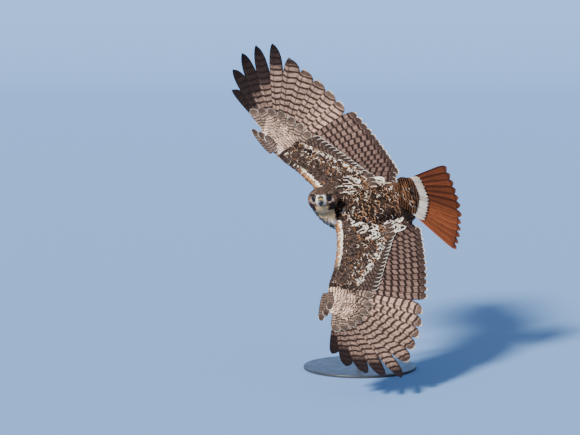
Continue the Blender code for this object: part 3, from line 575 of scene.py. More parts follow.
# %% [markdown]
# Finishes. A feather's colour comes from facts at its points: where the point lies on its feather, the
# feather's ground and edge colours, and how strongly it is edged, barred and mottled. Small node groups give
# the barbs and the nearness to the rim, and each kind of feather turns the facts into its own colour.

# %% Node helpers
class Wires:
    """Short ways to add nodes to one tree. Most of them give back sockets, ready to feed the next node."""

    def __init__(self, tree):
        self.tree = tree

    def node(self, kind, **settings):
        made = self.tree.nodes.new(kind)
        for key, value in settings.items():
            setattr(made, key, value)
        return made

    def feed(self, socket, value):
        if hasattr(value, "is_linked"):
            self.tree.links.new(value, socket)
        elif hasattr(socket.default_value, "__len__"):
            socket.default_value = (*value, 1.0)[:len(socket.default_value)]
        else:
            socket.default_value = value

    def feed_all(self, made, **values):
        for key, value in values.items():
            self.feed(made.inputs[key.replace("_", " ")], value)
        return made

    def math(self, operation, *values):
        made = self.node("ShaderNodeMath", operation=operation)
        for socket, value in zip(made.inputs, values):
            self.feed(socket, value)
        return made.outputs[0]

    def chain(self, operation, first, *others):
        for other in others:
            first = self.math(operation, first, other)
        return first

    def plus(self, *values):
        return self.chain("ADD", *values)

    def minus(self, a, b):
        return self.math("SUBTRACT", a, b)

    def times(self, *values):
        return self.chain("MULTIPLY", *values)

    def ramp(self, value, low, high, to_low=0.0, to_high=1.0):
        made = self.node("ShaderNodeMapRange", interpolation_type="SMOOTHSTEP")
        self.feed_all(made, Value=value, From_Min=low, From_Max=high, To_Min=to_low, To_Max=to_high)
        return made.outputs["Result"]

    def mix(self, share, a, b, blend="MIX"):
        made = self.node("ShaderNodeMix", data_type="RGBA", blend_type=blend)
        for socket, value in ((made.inputs["Factor"], share), (made.inputs[6], a), (made.inputs[7], b)):
            self.feed(socket, value)
        return made.outputs[2]

    def mottled(self, share, colour, by):
        return self.mix(share, colour, self.mix(1.0, colour, by, "MULTIPLY"))

    def fact(self, name):
        return self.node("ShaderNodeAttribute", attribute_name=name).outputs["Vector"]

    def parts(self, vector):
        made = self.node("ShaderNodeSeparateXYZ")
        self.feed(made.inputs[0], vector)
        return made.outputs

    def noise(self, scale, detail=2.0):
        made = self.node("ShaderNodeTexNoise")
        where = self.node("ShaderNodeTexCoord").outputs["Object"]
        return self.feed_all(made, Vector=where, Scale=scale, Detail=detail).outputs[0]

    def group(self, tree, given):
        made = self.node("ShaderNodeGroup", node_tree=tree)
        return self.feed_all(made, **given).outputs

    def bump(self, shader, height, depth, strength=1.0):
        made = self.feed_all(self.node("ShaderNodeBump"), Height=height, Distance=depth, Strength=strength)
        self.feed(shader.inputs["Normal"], made.outputs[0])


def new_group(name, inputs, outputs):
    """An empty node group with float inputs and outputs, and its wires and two ends."""
    tree = bpy.data.node_groups.new(name, "ShaderNodeTree")
    for keys, way in ((inputs, "INPUT"), (outputs, "OUTPUT")):
        for key in keys:
            tree.interface.new_socket(key, in_out=way, socket_type="NodeSocketFloat")
    wires = Wires(tree)
    return tree, wires, wires.node("NodeGroupInput").outputs, wires.node("NodeGroupOutput").inputs


def new_material(name, roughness, **constants):
    """A material with its shader found and its constants set on the shader's own sockets."""
    made = bpy.data.materials.new(name)
    made.use_nodes = True
    shader = made.node_tree.nodes["Principled BSDF"]
    shader.inputs["Roughness"].default_value = roughness
    for key, value in constants.items():
        shader.inputs[key.replace("_", " ").title().replace("Ior", "IOR")].default_value = value
    return made, Wires(made.node_tree), shader


# %% Barbs and edges
VANE_INPUTS = ("Along", "Across", "Length", "Half Width")
BARB_GAP, SPLIT_GAP, BARB_DEPTH = 0.0016, 0.013, 0.0004


def barb_group():
    """Height of the barbs: fine ridges that slant from the shaft to the tip, and a raised shaft."""
    tree, w, given, out = new_group("barbs", VANE_INPUTS, ("Height", "Shaft"))
    side = w.math("ABSOLUTE", given["Across"])
    run = w.plus(w.times(given["Along"], given["Length"]), w.times(side, given["Half Width"], -0.8))
    ridge = w.math("SINE", w.times(run, TAU / BARB_GAP))
    split = w.ramp(w.math("SINE", w.times(run, TAU / SPLIT_GAP)), 0.88, 1.0)
    shaft = w.ramp(side, 0.10, 0.02)
    w.feed(out["Height"], w.plus(w.times(ridge, 0.25), w.times(shaft, 1.2), w.times(split, -0.6)))
    w.feed(out["Shaft"], shaft)
    return tree


def rim_group():
    """Nearness to a feather's outline: the larger of the share across and the nearness to the tip."""
    tree, w, given, out = new_group("rim", VANE_INPUTS, ("Near",))
    left = w.math("DIVIDE", w.times(w.minus(1.0, given["Along"]), given["Length"]), given["Half Width"])
    w.feed(out["Near"], w.math("SMOOTH_MAX", w.math("ABSOLUTE", given["Across"]), w.minus(1.0, left), 0.25))
    return tree


BARBS, RIM = barb_group(), rim_group()


# %% Feather materials
BODY_BAR_GAP, PALE_MOTTLE = 0.0085, (0.80, 0.74, 0.66)
BAR_SPACING, BAR_SHARE, TIP_BAND = 0.0205, 0.40, 0.024
TIP_FRINGE, INK = (0.72, 0.66, 0.60), (0.011, 0.007, 0.008)
TAIL_PAINTED_SHADOW, TAIL_BAND, TAIL_TIP, TAIL_BASE = ((0.030, 0.008, 0.005), (0.022, 0.010, 0.007),
                                              (0.75, 0.55, 0.42), (0.78, 0.72, 0.66))


def body_colour(w, given, marks):
    """Body feathers and coverts: ground, an edge of another colour, bars across, and pale mottling."""
    edged, barred, mottled = marks
    edge = w.fact("edge")
    near = w.plus(w.group(RIM, given)["Near"], w.times(w.minus(w.noise(260.0), 0.5), 0.35))
    start = w.minus(1.0, edged)
    ground = w.mottled(w.times(w.noise(90.0, 3.0), 0.55), w.fact("ground"), (1.9, 1.8, 1.75))
    colour = w.mix(w.ramp(near, start, w.plus(start, 0.14)), ground, edge)
    wave = w.math("SINE", w.plus(w.times(given["Along"], given["Length"], TAU / BODY_BAR_GAP),
                                 w.times(w.math("ABSOLUTE", given["Across"]), -1.2)))
    colour = w.mix(w.times(w.ramp(wave, 0.25, 0.60), barred), colour, edge)
    spots = w.times(w.ramp(w.noise(165.0, 1.0), 0.50, 0.45), w.ramp(mottled, 0.0, 0.05), mottled)
    return w.mix(spots, colour, PALE_MOTTLE)


def quill_colour(w, given, marks):
    """Flight feathers: pale squares between dark bars, a dusky band and a pale rim at the tip, dark edges
    and shaft, and a black outer part on the fingers."""
    black, barred, fringe = marks
    along, length, side = given["Along"], given["Length"], w.math("ABSOLUTE", given["Across"])
    edge = w.fact("edge")
    left = w.times(w.minus(1.0, along), length)
    wobble = w.times(w.minus(w.noise(55.0), 0.5), 0.006)
    run = w.plus(w.minus(left, TIP_BAND), w.times(side, 0.005), wobble)
    phase = w.math("FRACT", w.math("DIVIDE", run, w.ramp(length, 0.12, 0.14, BAR_SPACING / 2, BAR_SPACING)))
    bar = w.times(w.ramp(phase, 0.0, 0.07), w.ramp(phase, BAR_SHARE + 0.07, BAR_SHARE - 0.03),
                  w.ramp(run, 0.0, 0.002), barred)
    dark = w.chain("MAXIMUM", bar, w.ramp(run, 0.002, -0.003, 0.0, 0.76),
                   w.times(w.ramp(side, 0.74, 0.94), barred, 0.9),
                   w.times(w.group(BARBS, given)["Shaft"], barred, 0.8))
    ground = w.mix(w.times(w.ramp(w.noise(75.0, 3.0), 0.35, 0.70), 0.50), w.fact("ground"), edge)
    colour = w.mix(dark, ground, edge)
    reach = w.ramp(length, 0.12, 0.14, 0.026, 0.013)
    near = w.group(RIM, given)["Near"]
    tipped = w.times(w.ramp(left, reach, w.times(reach, 0.45)), fringe, w.ramp(near, 0.80, 0.91))
    colour = w.mix(tipped, colour, TIP_FRINGE)
    start = w.minus(1.0, black)
    ink = w.ramp(along, w.minus(start, 0.10), w.plus(start, 0.06))
    return w.mix(w.times(ink, w.ramp(black, 0.0, 0.05, 0.0, 0.94)), colour, INK)


def tail_colour(w, given, marks):
    """Tail feathers: rust red with brighter edges, and one side darkened as a painted shadow of the
    neighbouring feather.
    A thin dark band near the tip, a pale rim at the tip and a whitish base."""
    _, banded, fringe = marks
    along, across = given["Along"], given["Across"]
    left = w.times(w.minus(1.0, along), given["Length"])
    streak = w.noise(70.0, 3.0)
    middle = w.times(w.ramp(w.math("ABSOLUTE", across), 0.97, 0.80), w.plus(0.45, w.times(streak, 0.6)))
    colour = w.mix(middle, w.fact("edge"), w.fact("ground"))
    drift = w.plus(left, w.times(w.minus(streak, 0.5), 0.006))
    # painted shadow: one side of each feather is darkened where the neighbouring feather would shade it
    colour = w.mix(w.times(w.ramp(across, 0.20, 0.80), 0.80), colour, TAIL_PAINTED_SHADOW)
    band = w.times(w.ramp(drift, 0.010, 0.012), w.ramp(drift, 0.018, 0.0155), banded)
    colour = w.mix(band, colour, TAIL_BAND)
    colour = w.mix(w.times(w.ramp(left, 0.004, 0.001), fringe), colour, TAIL_TIP)
    return w.mix(w.ramp(along, 0.30, 0.18), colour, TAIL_BASE)


def feather_finish(name, roughness, shine, coloured, tone, shaft_tint, strength):
    """The material of one kind of feather: its colour from the facts at each point, a tone of each feather's
    own from tone[0] up to the sum of tone, a tinted shaft, and the barbs as a bump."""
    made, w, shader = new_material(name, roughness, specular_ior_level=shine)
    along, across, own = w.parts(w.fact("vane"))
    length, half, _ = w.parts(w.fact("size"))
    given = dict(zip(VANE_INPUTS, (along, across, length, half)))
    lines = w.group(BARBS, given)
    colour = coloured(w, given, w.parts(w.fact("marks")))
    tint, level = w.node("ShaderNodeCombineColor"), w.plus(tone[0], w.times(own, tone[1]))
    for socket in tint.inputs:
        w.feed(socket, level)
    colour = w.mix(1.0, colour, tint.outputs[0], "MULTIPLY")
    share, dark = shaft_tint
    w.feed(shader.inputs["Base Color"], w.mix(w.times(lines["Shaft"], share), colour, dark))
    w.bump(shader, lines["Height"], BARB_DEPTH, strength)
    return made


PLUMAGE = feather_finish("plumage", 0.72, 0.06, body_colour, (0.72, 0.5), (0.45, (0.03, 0.02, 0.016)), 0.35)
QUILL = feather_finish("flight_feather", 0.5, 0.12, quill_colour, (0.90, 0.2), (0.0, INK), 0.4)
TAIL_VANE = feather_finish("tail_feather", 0.5, 0.12, tail_colour, (0.62, 0.7),
                           (0.8, (0.09, 0.025, 0.012)), 0.4)
print("materials", [made.name for made in bpy.data.materials])

# %% [markdown]
# Flight feathers first, because everything else overlaps them. Ten primaries fan from the hand, twelve
# secondaries from the forearm and three tertials from the elbow, each at the root, angle, length and width
# that its solid has.

# %% Flight feathers
WRIST, ELBOW = np.array([0.214, 0.131]), np.array([0.095, -0.014])
HAND_LENGTH, HAND_ANGLE = 0.081, 23.4
PRIMARY_LENGTHS = (0.259, 0.269, 0.279, 0.292, 0.311, 0.346, 0.329, 0.301, 0.252, 0.189)
PRIMARY_FIRST, PRIMARY_LAST, PRIMARY_POWER, FINGERS_FROM = -53.5, 27.1, 0.957, 6
SECONDARIES, FIRST_SHARE, FORWARD = 12, 0.07, np.array([-0.4, 0.9])
SECONDARY_LENGTHS, SECONDARY_ANGLES = (0.264, 0.165), (-61.6, -96.0)
TERTIAL_ROOTS = np.array([[0.080, -0.018], [0.062, -0.020], [0.046, -0.022]])
TERTIAL_ANGLE, TERTIAL_LENGTH = -97.0, 0.150
VANE_THICK = 0.0005
FINE = (-1.0, -0.93, -0.78, -0.58, -0.36, -0.14, -0.05, 0.0, 0.05, 0.14, 0.36, 0.62, 0.82, 0.94, 1.0)
DARK_BAR, PALE_SQUARE = (0.012, 0.007, 0.007), (0.55, 0.350, 0.270)
GREY_SQUARE = np.array([0.225, 0.140, 0.115])
FINGER_GREY = (0.20, 0.128, 0.108)
UNDER_PALE, UNDER_BAR = (0.66, 0.60, 0.54), (0.30, 0.25, 0.22)
UNDER_PLAIN = (UNDER_PALE, UNDER_BAR, (0.0, 0.5, 0.0))
INK_SHARES = np.array([0.0, 0.0, 0.0, 0.0, 0.05, 0.22, 0.40, 0.46, 0.56, 0.66])
INK_SEEN = {"left": 0.60, "right": 1.0}       # the bent tips of the left wing show less of their black


def heading(angle):
    """Unit vectors in the plan at angles in degrees."""
    return np.stack([np.cos(np.radians(angle)), np.sin(np.radians(angle))], -1)


def between(pair, share):
    """A value share of the way from the first of a pair to the second."""
    return pair[0] + (pair[1] - pair[0]) * share


def primary(number):
    """Root, angle in degrees and length of primaries by number, 1 to 10, whole numbers or between."""
    number = np.asarray(number, float)
    root = WRIST + (HAND_LENGTH * (number - 1) / 9.0)[..., None] * heading(HAND_ANGLE)
    share = np.clip((10 - number) / 9.0, 0, None) ** PRIMARY_POWER
    length = np.interp(number, np.arange(1, 11), PRIMARY_LENGTHS)
    return root, between((PRIMARY_LAST, PRIMARY_FIRST), share), length


def secondary(number, ahead=0.0):
    """Root, angle in degrees and length of secondaries by number, moved forward by ahead."""
    share = FIRST_SHARE + (1.0 - FIRST_SHARE) * (np.asarray(number, float) - 1) / (SECONDARIES - 1)
    return (between((WRIST, ELBOW), share[..., None]) + FORWARD * ahead, between(SECONDARY_ANGLES, share),
            between(SECONDARY_LENGTHS, share))


def abreast(*columns):
    """Columns side by side as the rows' values: each is an array or one number for all rows."""
    return np.stack(np.broadcast_arrays(*columns), -1)


def blended(share, a, b):
    """Colour a where share is 0 and b where it is 1."""
    share = np.asarray(share, float)[..., None]
    return np.asarray(a, float) * (1 - share) + np.asarray(b, float) * share


def strips(count, start=0, total=30):
    """A strip of the bake map for each feather of a batch: left, bottom, width, height."""
    return abreast(0.01, 0.01 + (start + np.arange(count)) * 0.98 / total, 0.98, 0.98 / total)


def flight_feathers(side):
    """All flight feathers of one wing as batches: inner primaries, fingers, secondaries and tertials."""
    style = {"tilt": 0.0016, "cup": 0.0008, "across": FINE, "plate": VANE_THICK,
             "fray": 0.006, "edge": DARK_BAR}
    place, batches = bare_wing(side), []
    seed = {"left": 11, "right": 12}[side]
    number = np.arange(1, 11)
    root, angle, length = primary(number)
    finger = number >= FINGERS_FROM
    lead, trail = np.where(finger, 0.010, 0.015), np.where(finger, 0.034, 0.045)
    lead[-1], trail[-1] = 0.008, 0.029
    trail[:2] = 0.040, 0.043
    ground = blended(np.linspace(0, 1, 10), PALE_SQUARE, FINGER_GREY)
    for group, outline, fringe, strip in ((~finger, quill_outline, 0.75, 0),
                                          (finger, finger_outline, 0.0, 5)):
        dark = INK_SHARES[group] * INK_SEEN[side]
        batches.append(feathers(place, root[group], np.radians(angle[group]), length[group], lead[group],
                                trail[group], outline, curve=4.0, rows=44, shaft=0.0009, ground=ground[group],
                                marks=abreast(dark, 0.92, fringe), seed=seed, patch=strips(len(dark), strip),
                                under=(UNDER_PALE, UNDER_BAR, abreast(dark * 0.9, 0.55, 0.0)), **style))
    root, angle, length = secondary(np.arange(1, SECONDARIES + 1))
    style.update(shaft=0.0008, under=UNDER_PLAIN)
    batches.append(feathers(place, root, np.radians(angle), length, 0.019, 0.027, quill_outline, curve=6.0,
                            rows=40, ground=GREY_SQUARE * np.linspace(1.15, 0.70, SECONDARIES)[:, None],
                            marks=(0.0, 0.95, 1.0), seed=seed + 2, patch=strips(SECONDARIES, 10), **style))
    batches.append(feathers(place, TERTIAL_ROOTS, np.radians(TERTIAL_ANGLE), TERTIAL_LENGTH - 0.008
                            * np.arange(3), 0.017, 0.021, quill_outline, curve=3.0, rows=28,
                            ground=GREY_SQUARE * 0.7, marks=(0.0, 0.95, 0.8), seed=seed + 4,
                            patch=strips(3, 22), **style))
    return batches


WING_NODES = {side: [f"wing_{side}_{part}" for part in ("arm", "hand", "alula")] for side in WAYS}
for side in WAYS:
    feather_piece(f"flight_feathers_{side}", flight_feathers(side), QUILL, WING_NODES[side])

# %% [markdown]
# The tail fans out behind: twelve feathers, the two middle ones on top. Their bases are whitish, so that a
# pale band shows between the dark rump and the red tail.

# %% Tail feathers
TAIL_PAIRS, TAIL_HALF_FAN, TAIL_ROOT_HALF, TAIL_ROOT_BACK = 6, 30.5, 0.038, 0.012
TAIL_LENGTHS, TAIL_WIDTH = (0.223, 0.216), 0.038
TAIL_RED, TAIL_EDGE = (0.125, 0.031, 0.013), (0.330, 0.095, 0.030)
TAIL_BELOW, TAIL_BELOW_EDGE = (0.46, 0.25, 0.17), (0.58, 0.34, 0.24)
MIDDLE_PAIR = {1.0: (0.0, 0.0018), -1.0: (0.0010, 0.0006)}


def tail_feathers():
    """Twelve feathers in pairs, fanned by equal angles, with the middle pair laid over the rest."""
    batches = []
    pair = np.arange(TAIL_PAIRS)
    share = (2 * pair + 1) / (2 * TAIL_PAIRS - 1)
    halves = [TAIL_WIDTH / 2 * (1.0 + 0.04 * pair), TAIL_WIDTH / 2 * (1.0 - 0.06 * pair)]
    for way in (1.0, -1.0):
        tilt, lift = np.full(TAIL_PAIRS, 0.0010), np.zeros(TAIL_PAIRS)
        tilt[0], lift[0] = MIDDLE_PAIR[way]
        batches.append(feathers(in_tail_plan, abreast(way * TAIL_ROOT_HALF * share, TAIL_ROOT_BACK),
                                np.radians(90.0 - way * TAIL_HALF_FAN * share),
                                between(TAIL_LENGTHS, share) - TAIL_ROOT_BACK, *halves[::int(way)],
                                quill_outline, lift=lift, tilt=-way * tilt, cup=0.0007, curve=way * 3.0,
                                rows=40, across=FINE, plate=VANE_THICK, shaft=0.0009, fray=0.010,
                                ground=TAIL_RED, edge=TAIL_EDGE, marks=(0.0, 0.55, 0.25),
                                under=(TAIL_BELOW, TAIL_BELOW_EDGE, (0.0, 0.3, 0.3)),
                                seed=31 + int(way), patch=strips(TAIL_PAIRS, 0 if way > 0 else 6, 12)))
    return batches


feather_piece("tail_feathers", tail_feathers(), TAIL_VANE, ["tail"])

# %% [markdown]
# One skin lies under all the feathers, so that no gap shows through to an empty inside. It is the trunk,
# neck, head, thighs and fleshy wings put together, and a voxel remesh welds them into one closed surface.

# %% Skin
SKIN_VOXEL, COAT_DEPTH = 0.0032, 0.0012
TAIL_RINGS = ((0.030, 0.050, 0.014, -0.016), (0.056, 0.050, 0.0075, -0.0085))
BACK_BROWN, BELLY_BUFF, CHIN_BUFF = (0.060, 0.038, 0.030), (0.50, 0.40, 0.31), (0.44, 0.32, 0.21)


def closed_tube(grid):
    """Points and faces of a stack of rings closed at both ends by a fan to a point, turned outward."""
    rows, sides = grid.shape[:2]
    number = np.arange(rows * sides).reshape(rows, sides)
    points = np.concatenate([grid.reshape(-1, 3), grid[:1].mean(1), grid[-1:].mean(1)])
    quads, after = squares(number, round_it=1), np.roll(number, -1, axis=1)
    first = np.full(sides, rows * sides)
    fans = np.concatenate([np.stack([first, number[0], after[0]], 1),
                           np.stack([first + 1, after[-1], number[-1]], 1)])
    if volume(points, quads) + volume(points, fans) < 0:
        quads, fans = quads[:, ::-1], fans[:, ::-1]
    return points, quads, fans


def tube_piece(name, grids, smooth=60.0):
    """One mesh object from several closed stacks of rings, in the bird's frame."""
    points, quads, fans = zip(*(closed_tube(grid) for grid in grids))
    start = np.cumsum([0] + [len(group) for group in points])
    faces = [group + shift for kind in (quads, fans) for group, shift in zip(kind, start)]
    return mesh_piece(name, in_world(np.concatenate(points)), faces, smooth)


def wing_flesh_grid(side):
    """The fleshy wing as rings: each runs back over the top of its section and forward under it."""
    section = np.concatenate([WING_TOP, np.array(WING_UNDER[:0:-1]) * (1, -1)])
    s, share = np.meshgrid(np.linspace(0.0, LAST_STATION, 30), section[:, 0], indexing="ij")
    return wing_point(station_at(s, share), section[:, 1] * by_station(THICKS, s), side)


def skin_colour(own):
    """Brown on the back and on the wings' upper side, buff under the trunk, the wings and the chin."""
    x, y, z = from_head(own).T
    chin = (fade(x, -0.030, -0.012) * fade(z, -0.006, -0.014) * fade(np.abs(y), 0.032, 0.022)
            * fade(x, 0.080, 0.060) * fade(z, -0.080, -0.060))
    return blended(chin, blended(fade(own[:, 2], -0.035, -0.050), BACK_BROWN, BELLY_BUFF), CHIN_BUFF)


def skin_material():
    """Down and skin between the feathers: warm grey-brown above, buff below, finely mottled."""
    made, w, shader = new_material("down", 0.9)
    w.feed(shader.inputs["Base Color"], w.mottled(w.noise(300.0, 3.0), w.fact("ground"), (0.5, 0.5, 0.5)))
    w.bump(shader, w.noise(900.0), 0.0005)
    return made


def make_skin():
    """Joins the flesh, remeshes and smooths it, and draws it in by the depth of the coat."""
    tail_root = [oval(*TRUNK[-1])] + [in_tail(oval(-row[0], *row[1:])) for row in TAIL_RINGS]
    sheets = (TRUNK_SHEET, NECK_SHEET, HEAD_SHEET, {"points": np.array(tail_root)}, *THIGH_SHEETS.values())
    skin = tube_piece("skin", [sheet["points"] for sheet in sheets]
                      + [wing_flesh_grid(side) for side in WAYS])
    weld = skin.modifiers.new("weld", "REMESH")
    weld.mode, weld.voxel_size = "VOXEL", SKIN_VOXEL
    calm = skin.modifiers.new("calm", "SMOOTH")
    calm.factor, calm.iterations = 0.5, 4
    depth = skin.modifiers.new("depth", "DISPLACE")
    depth.strength, depth.mid_level = -COAT_DEPTH, 0.0
    mesh = bpy.data.meshes.new_from_object(skin.evaluated_get(bpy.context.evaluated_depsgraph_get()))
    skin.modifiers.clear()
    skin.data = mesh
    mesh.shade_smooth()
    place = np.zeros(len(mesh.vertices) * 3)
    mesh.vertices.foreach_get("co", place)
    write_fact(mesh, "ground", skin_colour((place.reshape(-1, 3) - SHOULDERS_AT) @ BIRD_TURN))
    flesh = ["torso", "neck", "head", "thigh_left", "thigh_right",
             *WING_NODES["left"], *WING_NODES["right"], "tail"]
    return dress(skin, skin_material(), flesh)


make_skin()

# %% [markdown]
# Roots of body feathers stand in rows round a sheet, like tiles, each row shifted by half a step and every
# root nudged a little. The step follows the feather's size, so the face gets hundreds of tiny ones.

# %% Rows of roots
def gap_at(gap, where):
    """A gap that may be one number or a function of the place."""
    return gap(where) if callable(gap) else gap


def rows_on(sheet, s_from, s_to, gap_along, gap_across, seed, jitter=0.28):
    """Roots (s, t) on a sheet in staggered rows; gaps are in metres and may be functions of s."""
    draw = np.random.default_rng(seed)
    along = sheet["along"].mean(1)
    found, s = [], float(s_from)
    while s < s_to:
        row = min(int(round(s)), len(along) - 1)
        width, step = gap_at(gap_across, s), gap_at(gap_along, s) / along[row]
        arc = np.concatenate([[0.0], np.cumsum(sheet["around"][row])])
        count = max(6, int(arc[-1] / width))
        at = (np.arange(count) + 0.5 * (len(found) % 2)) / count * arc[-1]
        at = at + draw.uniform(-jitter, jitter, count) * width
        t = np.interp(at % arc[-1], arc, np.arange(len(arc)))
        shift = draw.uniform(-jitter, jitter, count) * step
        found.append(np.stack([np.clip(s + shift, 0, len(along) - 1), t], 1))
        s += step
    return np.concatenate(found)


def sheet_patch(root, sheet, box=(0.02, 0.02, 0.96, 0.96)):
    """Places on the bake map: the sheet unrolled into its own box of left, bottom, width and height."""
    rows, sides = sheet["points"].shape[:2]
    left, bottom, width, height = box
    return np.stack([left + width * root[:, 1] / sides, bottom + height * root[:, 0] / rows], 1)


def picked(draw, n, chance, a, b):
    """For each of n feathers, b with the given chance and a otherwise; a and b are numbers or colours."""
    chosen = draw.uniform(0, 1, n) < chance
    return np.where(chosen if np.ndim(b) == 0 else chosen[:, None], b, a)


def over(looks, share, ground, edge):
    """Looks, a ground and an edge, with another ground and edge laid over them by share."""
    return blended(share, looks[0], ground), blended(share, looks[1], edge)


def looked(looks, width, bars, spots):
    """The facts that a batch of feathers takes: ground, edge, and the marks of edge width, bars and spots."""
    return {"ground": looks[0], "edge": looks[1], "marks": abreast(width, bars, spots)}


# %% Trunk and neck plumage
CROWN, CHEEK, LORES, MOUSTACHE, THROAT = ((0.042, 0.027, 0.021), (0.150, 0.070, 0.042), (0.72, 0.69, 0.64),
                                          (0.016, 0.010, 0.009), (0.58, 0.37, 0.18))
RUST_EDGE, PALE_EDGE, WHITE = (0.34, 0.170, 0.090), (0.60, 0.47, 0.37), (0.80, 0.75, 0.68)
THROAT_EDGE, NECK_EDGE, NECK_WHITE, NECK_RUST = ((0.56, 0.41, 0.26), (0.50, 0.42, 0.35), (0.74, 0.68, 0.60),
                                                 (0.40, 0.22, 0.12))
BACK_DARK, BACK_SOFT, RUMP_DARK = (0.009, 0.006, 0.005), (0.030, 0.019, 0.015), (0.010, 0.006, 0.005)
RUMP_RUST, RUMP_BUFF = (0.20, 0.085, 0.040), (0.42, 0.30, 0.22)
BELLY_STREAK, BELLY_WHITE, BELLY_EDGE, BREAST_WASH = ((0.090, 0.050, 0.034), (0.68, 0.60, 0.50),
                                                      (0.72, 0.64, 0.55), (0.62, 0.44, 0.30))
THROAT_MIDDLE, THROAT_ENDS = 0.006, -0.056


def body_looks(root, sheet, seed):
    """Ground, edge and marks of body feathers from where their roots are.

    The angle round the trunk tells back from belly. The belly band is streaked, the breast washed with rust,
    the vent plain, and the rump barred. On the neck the throat is buff, then white, between dark sides."""
    draw = np.random.default_rng(seed)
    n = len(root)
    place = read_sheet(sheet["points"], *root.T)
    looks = (blended(draw.uniform(0, 1, n) ** 2, BACK_DARK, BACK_SOFT),
             picked(draw, n, 0.30, RUST_EDGE, PALE_EDGE))
    width = draw.uniform(0.05, 0.44, n)
    bars, spots = picked(draw, n, 0.18, 0.0, 0.6), picked(draw, n, 0.04, 0.0, 0.7)
    if sheet is NECK_SHEET:
        x, y, z = from_head(place).T
        front = fade(x, -0.022, -0.006) * fade(np.abs(y - THROAT_MIDDLE), 0.030, 0.022)
        looks = over(looks, front * fade(z, THROAT_ENDS, -0.050), THROAT, THROAT_EDGE)
        looks = over(looks, front * (1 - fade(z, -0.058, -0.052)), NECK_WHITE,
                     picked(draw, n, 0.2, WHITE, NECK_RUST))
        side = (1 - front) * fade(z, -0.010, -0.025)
        looks = (looks[0], blended(0.8 * side, looks[1], NECK_EDGE))
        return looked(looks, width + 0.08, 0.5 * bars * (1 - front), spots * (1 - front))
    x = place[:, 0]
    below = fade(np.sin(root[:, 1] / SHEET_SIDES * TAU), -0.30, -0.60)
    rump = fade(x, -0.098, -0.118)
    looks = over(looks, rump, RUMP_DARK, picked(draw, n, 0.3, RUMP_RUST, RUMP_BUFF))
    streaked = draw.uniform(0, 1, n) < 0.35 + 0.5 * fade(x, 0.005, -0.015) * fade(x, -0.105, -0.080)
    looks = over(looks, below, np.where(streaked[:, None], BELLY_STREAK, BELLY_WHITE),
                 blended(fade(x, 0.0, 0.05), BELLY_EDGE, BREAST_WASH))
    width = width * (1 - below) + below * np.where(streaked, draw.uniform(0.45, 0.66, n), 0.25)
    bars = np.maximum(bars * (1 - rump), 0.75 * rump)
    return looked(looks, width, bars * (1 - below), spots * (1 - rump) * (1 - below))


def body_feathers():
    """Trunk and neck: rows of lenses that grow longer from the neck to the rump."""
    root = rows_on(TRUNK_SHEET, 0, 39, 0.0062, 0.0085, 51)
    length = 0.019 + 0.012 * root[:, 0] / 40.0
    looks = body_looks(root, TRUNK_SHEET, 52)
    draw, n = np.random.default_rng(53), len(root)
    trunk = feathers(on_sheet(TRUNK_SHEET), root, draw.normal(0, 0.14, n),
                     length * draw.uniform(0.85, 1.2, n),
                     length * 0.34, lift=-0.0004 + draw.uniform(0, 0.0008, n),
                     rise=0.0036 * draw.uniform(0.7, 1.3, n),
                     cup=0.0016, seed=54,
                     patch=sheet_patch(root, TRUNK_SHEET, (0.02, 0.02, 0.96, 0.45)), **looks)
    root = rows_on(NECK_SHEET, 0, 22, 0.0046, 0.0064, 61)
    looks = body_looks(root, NECK_SHEET, 62)
    draw, n = np.random.default_rng(63), len(root)
    length = np.interp(root[:, 0], (0, 22), (0.021, 0.015))
    neck = feathers(on_sheet(NECK_SHEET), root, math.pi + draw.normal(0, 0.16, n),
                    length * draw.uniform(0.8, 1.25, n),
                    length * 0.26, outline=pointed_outline, lift=-0.0004 + draw.uniform(0, 0.001, n),
                    rise=0.0034 * draw.uniform(0.6, 1.5, n), seed=64,
                    patch=sheet_patch(root, NECK_SHEET, (0.02, 0.50, 0.96, 0.45)), **looks)
    return [trunk, neck]


feather_piece("plumage_body", body_feathers(), PLUMAGE)

# %% [markdown]
# The head. A hawk's face is a map: pale lores, a dark line of brow, a pale half ring below the eye, a dark
# moustache that runs down from the gape, and a buff throat. Each tiny feather reads its colour from where it
# stands in the head's own frame.

# %% Head plumage
CROWN_EDGE, CROWN_PALE, CHEEK_EDGE, CHEEK_PALE = ((0.13, 0.082, 0.060), (0.46, 0.32, 0.22),
                                                  (0.48, 0.24, 0.12), (0.55, 0.43, 0.33))
EYE_RING, BROW_LINE, STRIPE, LORES_EDGE = ((0.42, 0.36, 0.31), (0.020, 0.013, 0.011), (0.30, 0.22, 0.17),
                                           (0.80, 0.77, 0.72))


